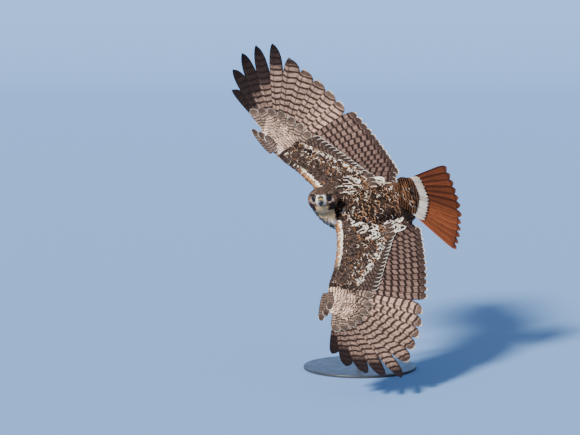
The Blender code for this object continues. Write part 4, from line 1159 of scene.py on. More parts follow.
def head_looks(own, seed):
    """Colours of the face from its own coordinates: x to the bill, y to the left, z to the crown."""
    draw = np.random.default_rng(seed)
    n = len(own)
    x, z = own[:, 0], own[:, 2] + draw.normal(0, 0.0011, n)
    y = np.abs(own[:, 1]) + draw.normal(0, 0.0011, n)
    cheek = fade(z, 0.014, 0.002)
    looks = (blended(cheek, CROWN, blended(draw.uniform(0, 1, n), CHEEK, CROWN)),
             blended(cheek, picked(draw, n, 0.3, CROWN_EDGE, CROWN_PALE),
                     picked(draw, n, 0.3, CHEEK_EDGE, CHEEK_PALE)))
    looks = over(looks, fade(y, 0.021, 0.015) * fade(z, -0.012, -0.018), THROAT, THROAT_EDGE)
    looks = over(looks, fade(z, -0.002, -0.009) * fade(y, 0.014, 0.019) * fade(y, 0.040, 0.034)
                 * fade(x, -0.018, -0.008), MOUSTACHE, (0.10, 0.06, 0.045))
    looks = over(looks, fade(z, 0.0165, 0.012) * fade(z, -0.014, -0.009) * fade(y - 0.25 * z, 0.0146, 0.0104)
                 * fade(x, 0.010, 0.016), LORES, LORES_EDGE)
    gap = np.linalg.norm(np.stack([x, y, z], 1) - EYE_AT, axis=1)
    eye_z = EYE_AT[2]
    looks = over(looks, 0.7 * bell(gap - 0.0128, 0.0013) * fade(z, eye_z - 0.001, eye_z - 0.006),
                 EYE_RING, (0.50, 0.43, 0.37))
    looks = over(looks, bell(gap - 0.0125, 0.0022) * fade(z, eye_z + 0.003, eye_z + 0.008),
                 BROW_LINE, (0.05, 0.03, 0.025))
    looks = over(looks, 0.35 * bell(z - 0.0215 + 0.15 * (x - 0.01), 0.0016) * fade(y, 0.014, 0.020)
                 * fade(x, -0.022, -0.006), STRIPE, (0.50, 0.41, 0.33))
    spots = picked(draw, n, 0.25 * fade(x, -0.012, -0.026), 0.0, 0.7)
    return looked(looks, draw.uniform(0.20, 0.60, n), 0.0, spots)


def head_feathers():
    """The head's feathers grow from 3 mm at the bill to 12 mm at the nape and lie back from the bill. Fine
    bristles stand on the lores, and long soft feathers of the throat hide the join of head and neck."""
    size = lambda s: np.interp(s, (0, 14, 30, 38, 42), (0.0125, 0.0105, 0.0065, 0.0042, 0.0034))
    lay = on_sheet(HEAD_SHEET)
    root = rows_on(HEAD_SHEET, 2, 40.5, lambda s: 0.25 * size(s), lambda s: 0.36 * size(s), 71)
    own = read_sheet(HEAD_OWN, *root.T)
    clear = np.ones(len(root), bool)
    for way in WAYS.values():
        away = own - mirrored(EYE_AT, way)
        clear &= np.linalg.norm(away, axis=1) > 0.0110 + 0.0022 * fade(away[:, 0], 0.001, 0.006)
    root, own = root[clear], own[clear]
    draw, n = np.random.default_rng(72), len(root)
    length = size(root[:, 0]) * draw.uniform(0.8, 1.25, n)
    coats = [feathers(lay, root, math.pi + draw.normal(0, 0.20, n), length, length * 0.26,
                      outline=pointed_outline, lift=-0.0002, rise=length * draw.uniform(0.06, 0.20, n),
                      cup=0.0006, rows=5, seed=74, patch=sheet_patch(root, HEAD_SHEET),
                      **head_looks(own, 73))]
    root = rows_on(HEAD_SHEET, 37.5, 42.0, 0.0011, 0.0015, 75)
    _, y, z = read_sheet(HEAD_OWN, *root.T).T
    root = root[(z < 0.0085) & (z > -0.0125) & (np.abs(y) > 0.003)]
    n = len(root)
    coats.append(feathers(lay, root, draw.normal(0, 0.25, n), draw.uniform(0.0045, 0.0080, n), 0.0008,
                          outline=pointed_outline, rise=draw.uniform(0.0004, 0.0016, n), cup=0.0003, rows=4,
                          ground=LORES, edge=(0.62, 0.60, 0.58), marks=(0.2, 0.0, 0.0), seed=76,
                          patch=sheet_patch(root, HEAD_SHEET)))
    root = rows_on(HEAD_SHEET, 8.0, 26.0, 0.0024, 0.0034, 77)
    x, y, z = read_sheet(HEAD_OWN, *root.T).T
    root = root[(z < -0.022) & (np.abs(y) < 0.021) & (x < 0.014)]
    n = len(root)
    coats.append(feathers(lay, root, math.pi + draw.normal(0, 0.16, n), draw.uniform(0.013, 0.019, n), 0.0028,
                          outline=pointed_outline, lift=0.0002, rise=draw.uniform(0.0016, 0.0034, n),
                          cup=0.0008, rows=5, ground=THROAT * draw.uniform(0.7, 1.15, (n, 1)),
                          edge=(0.60, 0.42, 0.25), marks=(0.25, 0.0, 0.0), seed=78,
                          patch=sheet_patch(root, HEAD_SHEET)))
    return coats


feather_piece("plumage_head", head_feathers(), PLUMAGE)

# %% [markdown]
# Coverts. On the upper side of the wing they lie in tiers: a long greater covert over each flight feather,
# then the medians, then row on row of lessers up to the leading edge. Each tier stands a little higher than
# the one behind it, so the rows overlap as tiles do.

# %% Wing coverts above
GREATER_LIFT, MEDIAN_LIFT = 0.0045, 0.0062
ALULA_ROOT, ALULA_ANGLE = np.array([0.226, 0.178]), 18.0
ALULA_STEPS = ((0.0, 0.004), (0.0, -0.003), (0.0, -0.009))
ALULA_SPREAD = {"right": (0.0, 1.0), "left": (4.0, 1.16)}
MEDIAN_DARK, LESSER_DARK, LESSER_SOFT = (0.022, 0.014, 0.012), (0.010, 0.007, 0.006), (0.040, 0.027, 0.023)
LESSER_EDGE, LESSER_RUST = (0.105, 0.072, 0.062), (0.34, 0.165, 0.08)
HAND_CELL, HAND_LINE, FRONT_PALE_AND_HIGHLIGHT, FRONT_EDGE_AND_HIGHLIGHT = ((0.56, 0.385, 0.30), (0.012, 0.008, 0.007),
                                                 (0.78, 0.71, 0.62), (0.78, 0.70, 0.60))
LIP_PALE, LIP_RUST, LIP_EDGE = (0.60, 0.48, 0.36), (0.36, 0.17, 0.07), (0.06, 0.03, 0.018)


def lay_angle(s):
    """Direction of the coverts in degrees at a station: inward of the wrist as the secondaries, beyond it
    fanning out as the primaries."""
    return np.interp(s, (0, 3, WRIST_STATION, WRIST_STATION + 1, WRIST_STATION + 3, LAST_STATION),
                     (-97.0, -90.0, -63.0, -48.0, -16.0, 6.0))


def wing_rows(c_values, gap, s_from, s_to, seed):
    """Roots on the wing in rows of equal share c of the chord, a gap apart along each row."""
    draw = np.random.default_rng(seed)
    s = np.linspace(s_from, s_to, 200)
    found = []
    for number, c in enumerate(c_values):
        line = station_at(s, np.full(len(s), c))
        run = np.concatenate([[0.0], np.cumsum(np.linalg.norm(np.diff(line, axis=0), axis=1))])
        count = max(3, int(run[-1] / gap_at(gap, c)))
        at = (np.arange(count) + 0.5 * (number % 2) + draw.uniform(-0.25, 0.25, count)) / count * run[-1]
        c_at = np.clip(c + draw.uniform(-0.012, 0.012, count), 0.005, 1.0)
        found.append(np.stack([np.interp(at, run, s), c_at], 1))
    return np.concatenate(found)


def wing_patch(roots):
    """Places on the bake map: the wing's plan scaled into the map."""
    return 0.02 + 0.96 * (roots + (0.05, 0.1)) / (0.45, 0.35)


def big_coverts(side):
    """Greater coverts over primaries and secondaries, and the thumb's feathers: thin plates with shafts."""
    style = {"outline": quill_outline, "rows": 16, "across": FINE[::2], "plate": 0.0004, "shaft": 0.0005,
             "fray": 0.01, "under": ((0.3,) * 3, (0.2,) * 3, (0.0, 0.3, 0.0))}
    flat, batches = bare_wing(side), []
    number = np.linspace(1.0, 10.0, 7)
    first, angle, _ = primary(number)
    second, inner, length = secondary(np.linspace(1, 12, 14), 0.004)
    for root, lay, long, lead, trail, cup, curve, ground, edge, marks, strip in (
            (first + heading(32.0) * 0.00045, angle - 1.0, 0.100 + 0.015 * np.sin(math.pi * number / 11.0),
             0.014, 0.019, 0.0008, 3.0, (0.36, 0.25, 0.195), (0.028, 0.019, 0.017), (0.0, 0.95, 0.5), 0),
            (second, inner - 2.0, 0.42 * length + 0.006, 0.014, 0.017, 0.0010, 5.0, (0.115, 0.076, 0.062),
             (0.016, 0.010, 0.009), (0.0, 0.95, 0.9), 10),
            (TERTIAL_ROOTS + (0.0, 0.006), TERTIAL_ANGLE, 0.086, 0.014, 0.016, 0.0010, 0.0,
             (0.16, 0.11, 0.09), (0.035, 0.022, 0.018), (0.0, 0.9, 0.7), 24)):
        batches.append(feathers(flat, root, np.radians(lay), long, lead, trail, lift=GREATER_LIFT,
                                tilt=0.0014, cup=cup, curve=curve, ground=ground, edge=edge, marks=marks,
                                seed=81 + len(batches), patch=strips(len(root), strip, 60), **style))
    opened, stretch = ALULA_SPREAD[side]
    angle = ALULA_ANGLE + opened
    batches.append(feathers(on_wing(side),
                            ALULA_ROOT + ALULA_STEPS @ np.array([heading(angle), heading(angle + 90.0)]),
                            np.radians(np.array([22.0, 19.0, 15.0]) + opened),
                            np.array([0.100, 0.082, 0.060]) * stretch, 0.009, 0.013,
                            lift=0.0005 + 0.0014 * np.arange(3), tilt=0.0006, cup=0.0006,
                            ground=(0.20, 0.135, 0.11), edge=(0.022, 0.015, 0.013), marks=(0.0, 0.9, 0.9),
                            seed=84, patch=strips(3, 27, 60), **style))
    return batches


def small_coverts(side):
    """Medians and lessers on the upper side. White mottling follows the medians from mid arm to the elbow,
    rust flecks the lessers, and the leading edge is whitish: pale feathers with a painted highlight along the
    edge."""
    batches = []
    seed = {"left": 90, "right": 190}[side]
    draw = np.random.default_rng(seed)
    for row, ahead in enumerate((-0.006, 0.004, 0.014)):
        n = 24
        number = np.linspace(1.0, 12.0, n) + draw.uniform(-0.1, 0.1, n)
        root, angle, length = secondary(number, ahead)
        mottled = picked(draw, n, 0.85, 0.0, 1.0) * 0.95
        mottled = mottled * fade(number, 1.6, 2.8) * (1 - fade(number, 8.5, 10.0))
        batches.append(feathers(on_wing(side, floor=MEDIAN_LIFT - 0.0018 + 0.0007 * row), root,
                                np.radians(angle - 4.0 + draw.normal(0, 4.0, n)), 0.12 * length + 0.010,
                                0.0085, 0.0095, rise=0.0022, tilt=0.0006, cup=0.0014, rows=8,
                                ground=MEDIAN_DARK, edge=picked(draw, n, 0.5, RUST_EDGE, PALE_EDGE),
                                marks=abreast(draw.uniform(0.08, 0.2, n), 0.2, mottled),
                                seed=seed + 1 + 100 * row, patch=wing_patch(root)))
    root, angle, _ = primary(np.linspace(1.0, 9.5, 14))
    batches.append(feathers(on_wing(side, floor=MEDIAN_LIFT - 0.001), root - heading(angle) * 0.010,
                            np.radians(angle - 2.0), 0.042, 0.010, 0.012, rise=0.002, tilt=0.0008, cup=0.0014,
                            rows=9, ground=(0.50, 0.36, 0.285), edge=(0.030, 0.020, 0.017),
                            marks=(0.25, 0.8, 0.0), seed=seed + 2, patch=wing_patch(root)))
    levels = np.concatenate([[0.012, 0.035], np.linspace(0.06, 0.93, 19)])
    arm = wing_rows(levels, lambda c: 0.0052 + 0.0026 * c, 0.25, WRIST_STATION + 0.3, seed + 3)
    cells = wing_rows(np.linspace(0.03, 0.93, 8), 0.0105, WRIST_STATION - 0.1, LAST_STATION - 0.3, seed + 6)
    s, c = np.concatenate([arm, cells]).T
    n = len(s)
    hand = np.arange(n) >= len(arm)
    plan = station_at(s, c)
    floor = np.interp(c, (0.0, 0.55, 0.80, 1.0), (0.0, 0.0, 0.0066, 0.0058))
    angle = lay_angle(s) + draw.normal(0, 7.0, n)
    length = np.where(hand, 0.026, 0.011 + 0.013 * c)
    half = np.where(hand, 0.0068, 0.30 * length + 0.0008)
    inner, fleck = fade(s, 4.2, 3.2), fade(c, 0.25, 0.50) * fade(s, 7.0, 5.0)
    ground = blended(draw.uniform(0, 1, n), LESSER_DARK, LESSER_SOFT)
    edge = picked(draw, n, 0.10 + 0.35 * fleck, LESSER_EDGE, LESSER_RUST)
    looks = (ground, picked(draw, n, 0.16 * fleck + 0.07, edge, PALE_EDGE))
    looks = over(looks, hand, HAND_CELL * draw.uniform(0.60, 1.2, (n, 1)), HAND_LINE)
    # the whitish leading-edge band is partly pale feathers and partly a painted highlight of the light along
    # the edge
    front = fade(c, 0.10, 0.06) * fade(c, 0.018, 0.034)
    looks = (blended(0.95 * front * inner, looks[0], FRONT_PALE_AND_HIGHLIGHT),
             blended(0.9 * front * inner, looks[1], FRONT_EDGE_AND_HIGHLIGHT))
    lip = fade(c, 0.034, 0.018) * inner
    looks = over(looks, lip, picked(draw, n, 0.3, LIP_RUST, LIP_PALE), LIP_EDGE)
    white = fade(c, 0.78, 0.88) * fade(s, 5.8, 5.0) * fade(s, 1.6, 2.4)
    spots = picked(draw, n, 0.9 * white, 0.0, 0.9)
    spots = np.maximum(spots, picked(draw, n, 0.3 * front * (1 - inner), 0.0, 0.8))
    # painted shadow: the lessers just past the wrist are darkened in a line where the arm's coverts overlap
    # the hand's
    painted_crease_shadow = bell(s - WRIST_STATION - 0.15, 0.22)
    ground = blended(0.9 * painted_crease_shadow, looks[0], LESSER_DARK)
    edge = blended(0.7 * painted_crease_shadow, looks[1], (0.03, 0.02, 0.018))
    marks = abreast(np.where(hand, 0.16, draw.uniform(0.15, 0.55, n)),
                    np.maximum(0.95 * hand, 0.8 * lip), spots)
    for level in range(3):
        these = np.digitize(floor, (0.003, 0.0062)) == level
        k = these.sum()
        batches.append(feathers(on_wing(side, floor=float(floor[these].mean())), plan[these],
                                np.radians(angle[these]), length[these] * draw.uniform(0.88, 1.14, k),
                                half[these], lift=0.0004, rise=0.0024 * draw.uniform(0.6, 1.4, k), cup=0.0010,
                                ground=ground[these], edge=edge[these], marks=marks[these], seed=seed + 4
                                + level, patch=wing_patch(plan[these])))
    return batches


for side in WAYS:
    feather_piece(f"greater_coverts_{side}", big_coverts(side), QUILL)
    feather_piece(f"small_coverts_{side}", small_coverts(side), PLUMAGE)


# %% Wing coverts below
LINING_BUFF, LINING_RUST, BAR_DARK = (0.60, 0.49, 0.37), (0.26, 0.13, 0.07), (0.075, 0.043, 0.030)


def under_coverts(side):
    """The wing's lining: pale greater coverts under the quills, buff rows over the flesh, and the dark bar
    along the leading edge from shoulder to wrist that marks the species."""
    seed = {"left": 290, "right": 390}[side]
    draw = np.random.default_rng(seed)
    outer, outer_angle, _ = primary(np.linspace(1, 10, 18))
    root, angle, length = secondary(np.linspace(1, 12, 22))
    batches = []
    for root, angle, long in ((outer, outer_angle, 0.082), (root, angle, 0.30 * length + 0.006)):
        dark = picked(draw, len(root), 0.35, 0.0, 0.55)
        batches.append(feathers(on_wing(side, "under", 0.0024), root, np.radians(angle - 1.0), long, 0.0105,
                                0.0125, rise=0.0014, tilt=0.0006, rows=9, ground=(0.60, 0.53, 0.46),
                                edge=(0.30, 0.23, 0.19), marks=abreast(0.10, dark, 0.0), seed=seed + 1,
                                patch=wing_patch(root)))
    s, c = wing_rows(np.linspace(0.02, 0.96, 17), lambda c: 0.0065 + 0.0030 * c,
                     0.25, LAST_STATION - 0.2, seed + 2).T
    plan = station_at(s, c)
    n = len(plan)
    bar = fade(c, 0.34, 0.24) * fade(s, WRIST_STATION + 0.2, WRIST_STATION - 0.6) * fade(s, 0.2, 0.8)
    comma = fade(s, WRIST_STATION + 2.2, WRIST_STATION + 3.0) * fade(c, 0.5, 0.8)
    ground = blended(np.maximum(bar, comma), LINING_BUFF, BAR_DARK)
    ground = blended((1 - bar) * picked(draw, n, 0.30, 0.0, 1.0), ground, LINING_RUST)
    length = 0.013 + 0.013 * c
    batches.append(feathers(on_wing(side, "under"), plan, np.radians(lay_angle(s) + draw.normal(0, 7.0, n)),
                            length * draw.uniform(0.85, 1.2, n), 0.32 * length + 0.001, lift=0.0004,
                            rise=0.0028 * draw.uniform(0.6, 1.4, n), cup=0.0010, ground=ground,
                            edge=blended(bar, (0.66, 0.57, 0.46), (0.26, 0.15, 0.09)),
                            marks=abreast(draw.uniform(0.15, 0.4, n), 0.0, 0.0), seed=seed + 3,
                            patch=wing_patch(plan)))
    return batches


for side in WAYS:
    feather_piece(f"under_coverts_{side}", under_coverts(side), PLUMAGE)

# %% [markdown]
# Three more coats close the places where parts meet: the scapulars hang over the gap between back and wing,
# the tail coverts cover the quills of the tail above and below, and the thighs wear loose buff trousers.

# %% Scapulars, tail coverts and trousers
SCAPULAR_DARK, COVERT_PALE = (0.020, 0.013, 0.011), (0.72, 0.66, 0.58)
SCAPULARS = ((0.072, (0.020, -0.020), 0.040, 0.0066), (0.046, (0.040, -0.030), 0.044, 0.0078),
             (0.018, (0.052, -0.045), 0.046, 0.0090), (-0.006, (0.060, -0.050), 0.046, 0.0100),
             (0.060, (-0.022, -0.070), 0.060, 0.0062), (0.036, (-0.040, -0.085), 0.056, 0.0070))
UPPER_TAIL_COVERTS = ((0.000, 0.090, 25.0, 0.0058, (0.52, 0.46, 0.40), COVERT_PALE, 0.0, 15),
                      (-0.010, 0.066, 20.0, 0.0076, (0.010, 0.006, 0.005), (0.24, 0.11, 0.055), 0.7, 17),
                      (-0.022, 0.056, 16.0, 0.0092, (0.008, 0.005, 0.004), (0.16, 0.07, 0.035), 0.7, 16))
LOWER_TAIL_COVERTS = ((0.000, 0.100, -0.0056), (-0.020, 0.080, -0.0080), (-0.040, 0.066, -0.0108))
FLANK_DARK_PAINTED_SHADE, FLANK_EDGE, FLANK_PALE = (0.010, 0.007, 0.006), (0.060, 0.036, 0.028), (0.16, 0.10, 0.075)
THIGH_RUST, THIGH_BUFF, THIGH_EDGE = (0.56, 0.36, 0.22), (0.60, 0.47, 0.35), (0.66, 0.55, 0.43)


def scapulars(side):
    """Long feathers over the wing's root, dark along the shaft and white along both edges."""
    seed = {"left": 490, "right": 590}[side]
    draw = np.random.default_rng(seed)
    batches = []
    for row, (outward_at, forward_at, long, lift) in enumerate(SCAPULARS):
        n = 9 + row
        root = abreast(outward_at + draw.normal(0, 0.003, n), np.linspace(*forward_at, n))
        pale = draw.uniform(0.35, 0.75, n)
        batches.append(feathers(on_wing(side, floor=lift - 0.0055), root,
                                np.radians(draw.normal(-104.0, 5.0, n)),
                                long * draw.uniform(0.85, 1.2, n), 0.0105, 0.0115, rise=0.0035, tilt=0.0010,
                                cup=0.0016, rows=9, ground=SCAPULAR_DARK,
                                edge=picked(draw, n, 0.6, PALE_EDGE, WHITE),
                                marks=abreast(pale, 0.0, 0.0), seed=seed + row + 1, patch=wing_patch(root)))
    return batches


def tail_coverts():
    """Rows of coverts over the tail's root: white ones below dark ones barred with rust, white ones under the
    tail, and short near-black ones at its sides, dark feathers darkened further as painted shade of the
    hollow there."""
    batches = []
    for row, (back, long, half_fan, lift, ground, edge, barred, n) in enumerate(UPPER_TAIL_COVERTS):
        share = np.linspace(-1.0, 1.0, n)
        batches.append(feathers(in_tail_plan, abreast(0.040 * share, 0.004 + back),
                                np.radians(90.0 - half_fan * share), long - 0.014 * np.abs(share), 0.0100,
                                lift=lift + 0.0010 * (np.arange(n) % 2) - 0.004 * share**2, rise=0.001,
                                cup=0.0016, rows=12, ground=ground, edge=edge, marks=(0.12, barred, 0.0),
                                seed=691 + row, patch=abreast(0.5 + 0.4 * share, 0.2 + 0.2 * row)))
    share = np.linspace(-1.0, 1.0, 11)
    for row, (back, long, lift) in enumerate(LOWER_TAIL_COVERTS):
        batches.append(feathers(in_tail_plan, abreast((0.030 + 0.4 * back) * share, 0.004 + back),
                                np.radians(90.0 - 20.0 * share), long - 0.014 * np.abs(share), 0.0110,
                                lift=lift - 0.0010 * (np.arange(11) % 2) + 0.004 * share**2, rise=-0.001,
                                cup=-0.0016, rows=12, ground=(0.62, 0.54, 0.45), edge=COVERT_PALE,
                                marks=(0.30, 0.10, 0.0), seed=697 + row,
                                patch=abreast(0.5 + 0.4 * share, 0.7 + 0.1 * row)))
    # side coverts: dark feathers, made near-black as painted shade of the hollow between rump and tail
    draw, share = np.random.default_rng(690), np.linspace(0.0, 1.0, 7)
    for way, opened in ((1.0, 1.0), (-1.0, 0.4)):
        for row in range(2):
            root = abreast(way * (0.034 + 0.012 * share * opened - 0.004 * row),
                           0.016 - 0.012 * row - 0.014 * share)
            batches.append(feathers(in_tail_plan, root,
                                    np.radians(90.0 - way * (24.0 + 42.0 * share) * opened),
                                    0.044 + 0.008 * share, 0.0100, lift=-0.0035 + 0.002 * row, rise=-0.002,
                                    cup=0.0014, rows=10, ground=FLANK_DARK_PAINTED_SHADE,
                                    edge=picked(draw, 7, 0.4, FLANK_EDGE, FLANK_PALE),
                                    marks=(0.14, 0.30, 0.0), seed=710 + row + int(way),
                                    patch=abreast(0.5 + 0.4 * way * share, 0.5 + 0.05 * row)))
    return batches


def trousers(side):
    """Loose buff feathers down the thigh, a few barred with rust, shortest at the heel."""
    seed, sheet = {"left": 790, "right": 890}[side], THIGH_SHEETS[side]
    last = len(sheet["along"]) - 1
    root = rows_on(sheet, 1, last - 0.5, 0.0055, 0.0068, seed)
    draw, n = np.random.default_rng(seed + 1), len(root)
    length = np.interp(root[:, 0], (0, last), (0.026, 0.011)) * draw.uniform(0.85, 1.2, n)
    barred = picked(draw, n, 0.4, 0.0, 0.6)
    return feathers(on_sheet(sheet), root, draw.normal(0, 0.16, n), length, 0.30 * length,
                    outline=pointed_outline, lift=-0.0004, rise=0.0034 * draw.uniform(0.6, 1.4, n),
                    edge=THIGH_EDGE, ground=np.where(barred[:, None] > 0, THIGH_RUST, THIGH_BUFF),
                    marks=abreast(0.3, barred * 0.5, 0.0), seed=seed + 2, patch=sheet_patch(root, sheet))


feather_piece("plumage_joins", scapulars("left") + scapulars("right") + tail_coverts(),
              PLUMAGE)
feather_piece("plumage_thighs", [trousers(side) for side in WAYS], PLUMAGE)

# %% [markdown]
# Bare parts. The eyes are whole balls with a dark iris, each set under its brow and held in a lid. The cere
# is a yellow saddle with two nostrils dented into it, and the bill's upper half hooks down over the lower.

# %% Bare-part materials
def painted_material(name, roughness, grain, depth, **constants):
    """A material whose colour is the piece's own 'ground' colour, with fine skin or horn grain."""
    made, w, shader = new_material(name, roughness, **constants)
    speckle = w.mottled(w.ramp(w.noise(grain, 3.0), 0.35, 0.65), w.fact("ground"), (0.80, 0.78, 0.76))
    w.feed(shader.inputs["Base Color"], speckle)
    w.bump(shader, w.noise(grain * 2.0), depth, 0.4)
    return made


def eye_material():
    """A wet eye: the painted iris under a clear coat."""
    made, w, shader = new_material("eye", 0.08, coat_weight=0.35, coat_roughness=0.02, specular_ior_level=0.3)
    w.feed(shader.inputs["Base Color"], w.fact("ground"))
    return made


SKIN_FINISH = painted_material("bare_skin", 0.42, 1400.0, 0.0003)
HORN_FINISH = painted_material("horn", 0.25, 700.0, 0.0001, coat_weight=0.3)
EYE_FINISH = eye_material()


def with_poles(grid, colours):
    """A colour for each point of a grid of rings, followed by those of the two poles that close it."""
    colours = np.broadcast_to(colours, grid.shape)
    return np.concatenate([colours.reshape(-1, 3), colours[:1].mean(1), colours[-1:].mean(1)])


def painted_tubes(name, grids, colours, finish, nodes=()):
    """One piece from closed stacks of rings in the bird's frame, each with its colours or its one colour."""
    piece = tube_piece(name, grids)
    painted = [with_poles(grid, colour) for grid, colour in zip(grids, colours)]
    write_fact(piece.data, "ground", np.concatenate(painted))
    return dress(piece, finish, nodes)


def ball_grid(centre, radius, axis, rings=40, sides=48):
    """Rings of a ball about an axis, from its front pole to its back: the polar angle runs 0 to pi."""
    axis, side, up = square_to(axis)
    polar = np.linspace(0.0, math.pi, rings + 2)[1:-1, None, None]
    t = circle(sides)[:, None]
    return centre + radius * (np.cos(polar) * axis + np.sin(polar) * (np.cos(t) * side + np.sin(t) * up))


# %% Eyes and lids
GAZE = np.array([0.76, 0.65, 0.03])
PUPIL_TO, IRIS_TO = math.radians(31.0), math.radians(58.0)
PUPIL, IRIS_INNER, IRIS_OUTER, EYE_RIM = ((0.002, 0.002, 0.002), (0.022, 0.011, 0.006), (0.009, 0.005, 0.004),
                                          (0.003, 0.002, 0.002))
LID_DARK, LID_REACH, LID_RADIUS, LID_SQUASH = (0.022, 0.016, 0.013), 0.0090, 0.0011, 0.88


def make_eye(side):
    """The eyeball: dark pupil, brown iris, black rim, by the angle from the gaze."""
    centre, gaze = mirrored(EYE_AT, WAYS[side]), mirrored(GAZE, WAYS[side])
    grid = ball_grid(centre, EYE_RADIUS, gaze)
    angle = np.arccos(np.clip((grid - centre) @ (gaze / np.linalg.norm(gaze)) / EYE_RADIUS, -1, 1))
    colour = blended(fade(angle, PUPIL_TO, PUPIL_TO + 0.05), PUPIL, IRIS_INNER)
    colour = blended(fade(angle, PUPIL_TO + 0.08, IRIS_TO), colour, IRIS_OUTER)
    colour = blended(fade(angle, IRIS_TO - 0.03, IRIS_TO + 0.03), colour, EYE_RIM)
    return painted_tubes(f"eyeball_{side}", [in_head(grid)], [colour], EYE_FINISH, [f"eye_{side}"])


def lid_ring(way, sides=72, rings=12):
    """A lid as a closed ring about the gaze; its upper half is drawn in so the brow cuts the eye."""
    axis, side, up = square_to(mirrored(GAZE, way))
    t, a = circle(sides), circle(rings)[None, :, None]
    reach = LID_REACH * np.stack([np.cos(t), np.where(np.sin(t) > 0, LID_SQUASH, 1.0) * np.sin(t)], 1)
    depth = np.sqrt((EYE_RADIUS + 0.0001) ** 2 - (reach**2).sum(1))
    spread = reach @ np.array([side, up])
    away = (spread / np.linalg.norm(reach, axis=1)[:, None])[:, None]
    line = mirrored(EYE_AT, way) + spread + depth[:, None] * axis
    return line[:, None] + LID_RADIUS * (np.cos(a) * away + np.sin(a) * axis)


def make_lids():
    """Both lids in one piece: thick bare rims round the eyes."""
    points, faces = [], []
    for way in WAYS.values():
        grid = in_head(lid_ring(way))
        quads = squares(np.arange(grid.size // 3).reshape(grid.shape[:2]), down=1, round_it=1)
        flat = grid.reshape(-1, 3)
        faces.append((quads if volume(flat, quads) > 0 else quads[:, ::-1]) + sum(len(p) for p in points))
        points.append(flat)
    piece = mesh_piece("lids", in_world(np.concatenate(points)), faces)
    write_fact(piece.data, "ground", np.tile(LID_DARK, (len(piece.data.vertices), 1)))
    return dress(piece, SKIN_FINISH)


for side in WAYS:
    make_eye(side)
make_lids()


# %% Cere and bill
CERE_YELLOW, GAPE_YELLOW, NOSTRIL_DARK = (0.62, 0.42, 0.06), (0.20, 0.14, 0.06), (0.012, 0.009, 0.007)
BILL_DARK, BILL_BASE = (0.012, 0.012, 0.014), (0.10, 0.105, 0.115)
NOSTRIL_AT, NOSTRIL_DEPTH, NOSTRIL_SPREAD = (0.0382, 0.0072, 0.0022), 0.0016, (0.0017, 0.0060, 0.0012)
CERE = ((0.0260, 0.0088, 0.0080, -0.0045), (0.0300, 0.0084, 0.0078, -0.0045),
        (0.0340, 0.0080, 0.0076, -0.0046),
        (0.0380, 0.0074, 0.0072, -0.0048), (0.0408, 0.0069, 0.0067, -0.0050),
        (0.0416, 0.0060, 0.0058, -0.0046))
BILL_START = (0.0410, 0.0064, 0.0062, -0.0052)
BILL_HOOK = ((0.0462, -0.0010, 0.0056, 20.0), (0.0496, -0.0045, 0.0044, 45.0),
             (0.0510, -0.0090, 0.0032, 75.0),
             (0.0500, -0.0135, 0.0018, 100.0), (0.0475, -0.0155, 0.0004, 110.0))
LOWER_BILL = ((0.026, 0.0070, 0.0034, -0.0034, -0.0092), (0.0415, 0.0054, 0.0030, -0.0030, -0.0090),
              (0.0445, 0.0032, 0.0016, -0.0016, -0.0090))
LIP_START = ((0.0425, 0.0060, -0.0058), (0.0370, 0.0078, -0.0066))
LIP_BACK = ((0.031, -0.0080), (0.027, -0.0092), (0.023, -0.0102), (0.019, -0.0112))


def upper_bill():
    """Rings that start square to the cere and pitch over as the hook comes down."""
    t = circle(64)
    rings = [oval(*BILL_START, sides=64)]
    for x, z, radius, pitch in BILL_HOOK:
        a = math.radians(pitch)
        rise = np.sin(t) * radius * 1.15
        rings.append(np.stack([x - 0.002 + rise * math.sin(a), np.cos(t) * radius,
                               z + rise * math.cos(a)], 1))
    return smooth_table(rings, 6)


def make_bill():
    """Cere with dented nostrils, hooked upper bill, and lower bill, each its own closed mesh."""
    cere = np.array([oval(*row, sides=96) for row in smooth_table(CERE, 8)])
    away = cere - cere.mean(1, keepdims=True)
    away /= np.linalg.norm(away, axis=-1, keepdims=True)
    holes = [np.exp(-(np.linalg.norm((cere - mirrored(NOSTRIL_AT, way)) / NOSTRIL_SPREAD, axis=-1) ** 4))
             for way in WAYS.values()]
    dented = cere - away * NOSTRIL_DEPTH * sum(holes)[..., None]
    painted_tubes("cere_skin", [in_head(dented)], [blended(fade(np.maximum(*holes), 0.25, 0.7), CERE_YELLOW,
                                                           NOSTRIL_DARK)], SKIN_FINISH, ["cere"])
    upper = upper_bill()
    tipped = fade(upper[..., 0] * 0.5 - upper[..., 2], 0.0195, 0.0265)
    painted_tubes("bill_top", [in_head(upper)], [blended(tipped, BILL_BASE, BILL_DARK)],
                  HORN_FINISH, ["bill_upper"])
    lower = smooth_table([oval(*row, lift=lift) for *row, lift in LOWER_BILL], 8)
    painted_tubes("bill_bottom", [in_head(lower)], [blended(fade(lower[..., 0], 0.036, 0.042), GAPE_YELLOW,
                                                            BILL_DARK)], HORN_FINISH, ["bill_lower"])


def on_face(x, z, way):
    """The point of the head's surface nearest a place seen from the side, moved outward a little."""
    gap = np.where(HEAD_OWN[..., 1] * way > 0, (HEAD_OWN[..., 0] - x) ** 2 + (HEAD_OWN[..., 2] - z) ** 2, 1.0)
    return HEAD_OWN.reshape(-1, 3)[gap.argmin()] + (0.0, way * 0.0004, 0.0)


def make_mouth():
    """The gape: a yellow lip on each side from the bill back to below the eye."""
    grids = []
    for way in WAYS.values():
        path = [mirrored(point, way) for point in LIP_START] + [on_face(x, z, way) for x, z in LIP_BACK]
        path = smooth_table(path, 5)
        thick = 0.0010 * np.sin(np.linspace(0.5, math.pi - 0.15, len(path)))
        grids.append(in_head(tube_grid(path, thick, sides=16)))
    return painted_tubes("gape", grids, [GAPE_YELLOW] * 2, SKIN_FINISH)


make_bill()
make_mouth()

# %% [markdown]
# Legs. The shank and toes wear rows of overlapping scutes, made as small waves along each tube, and each claw
# is a cone that keeps turning as its toe did.

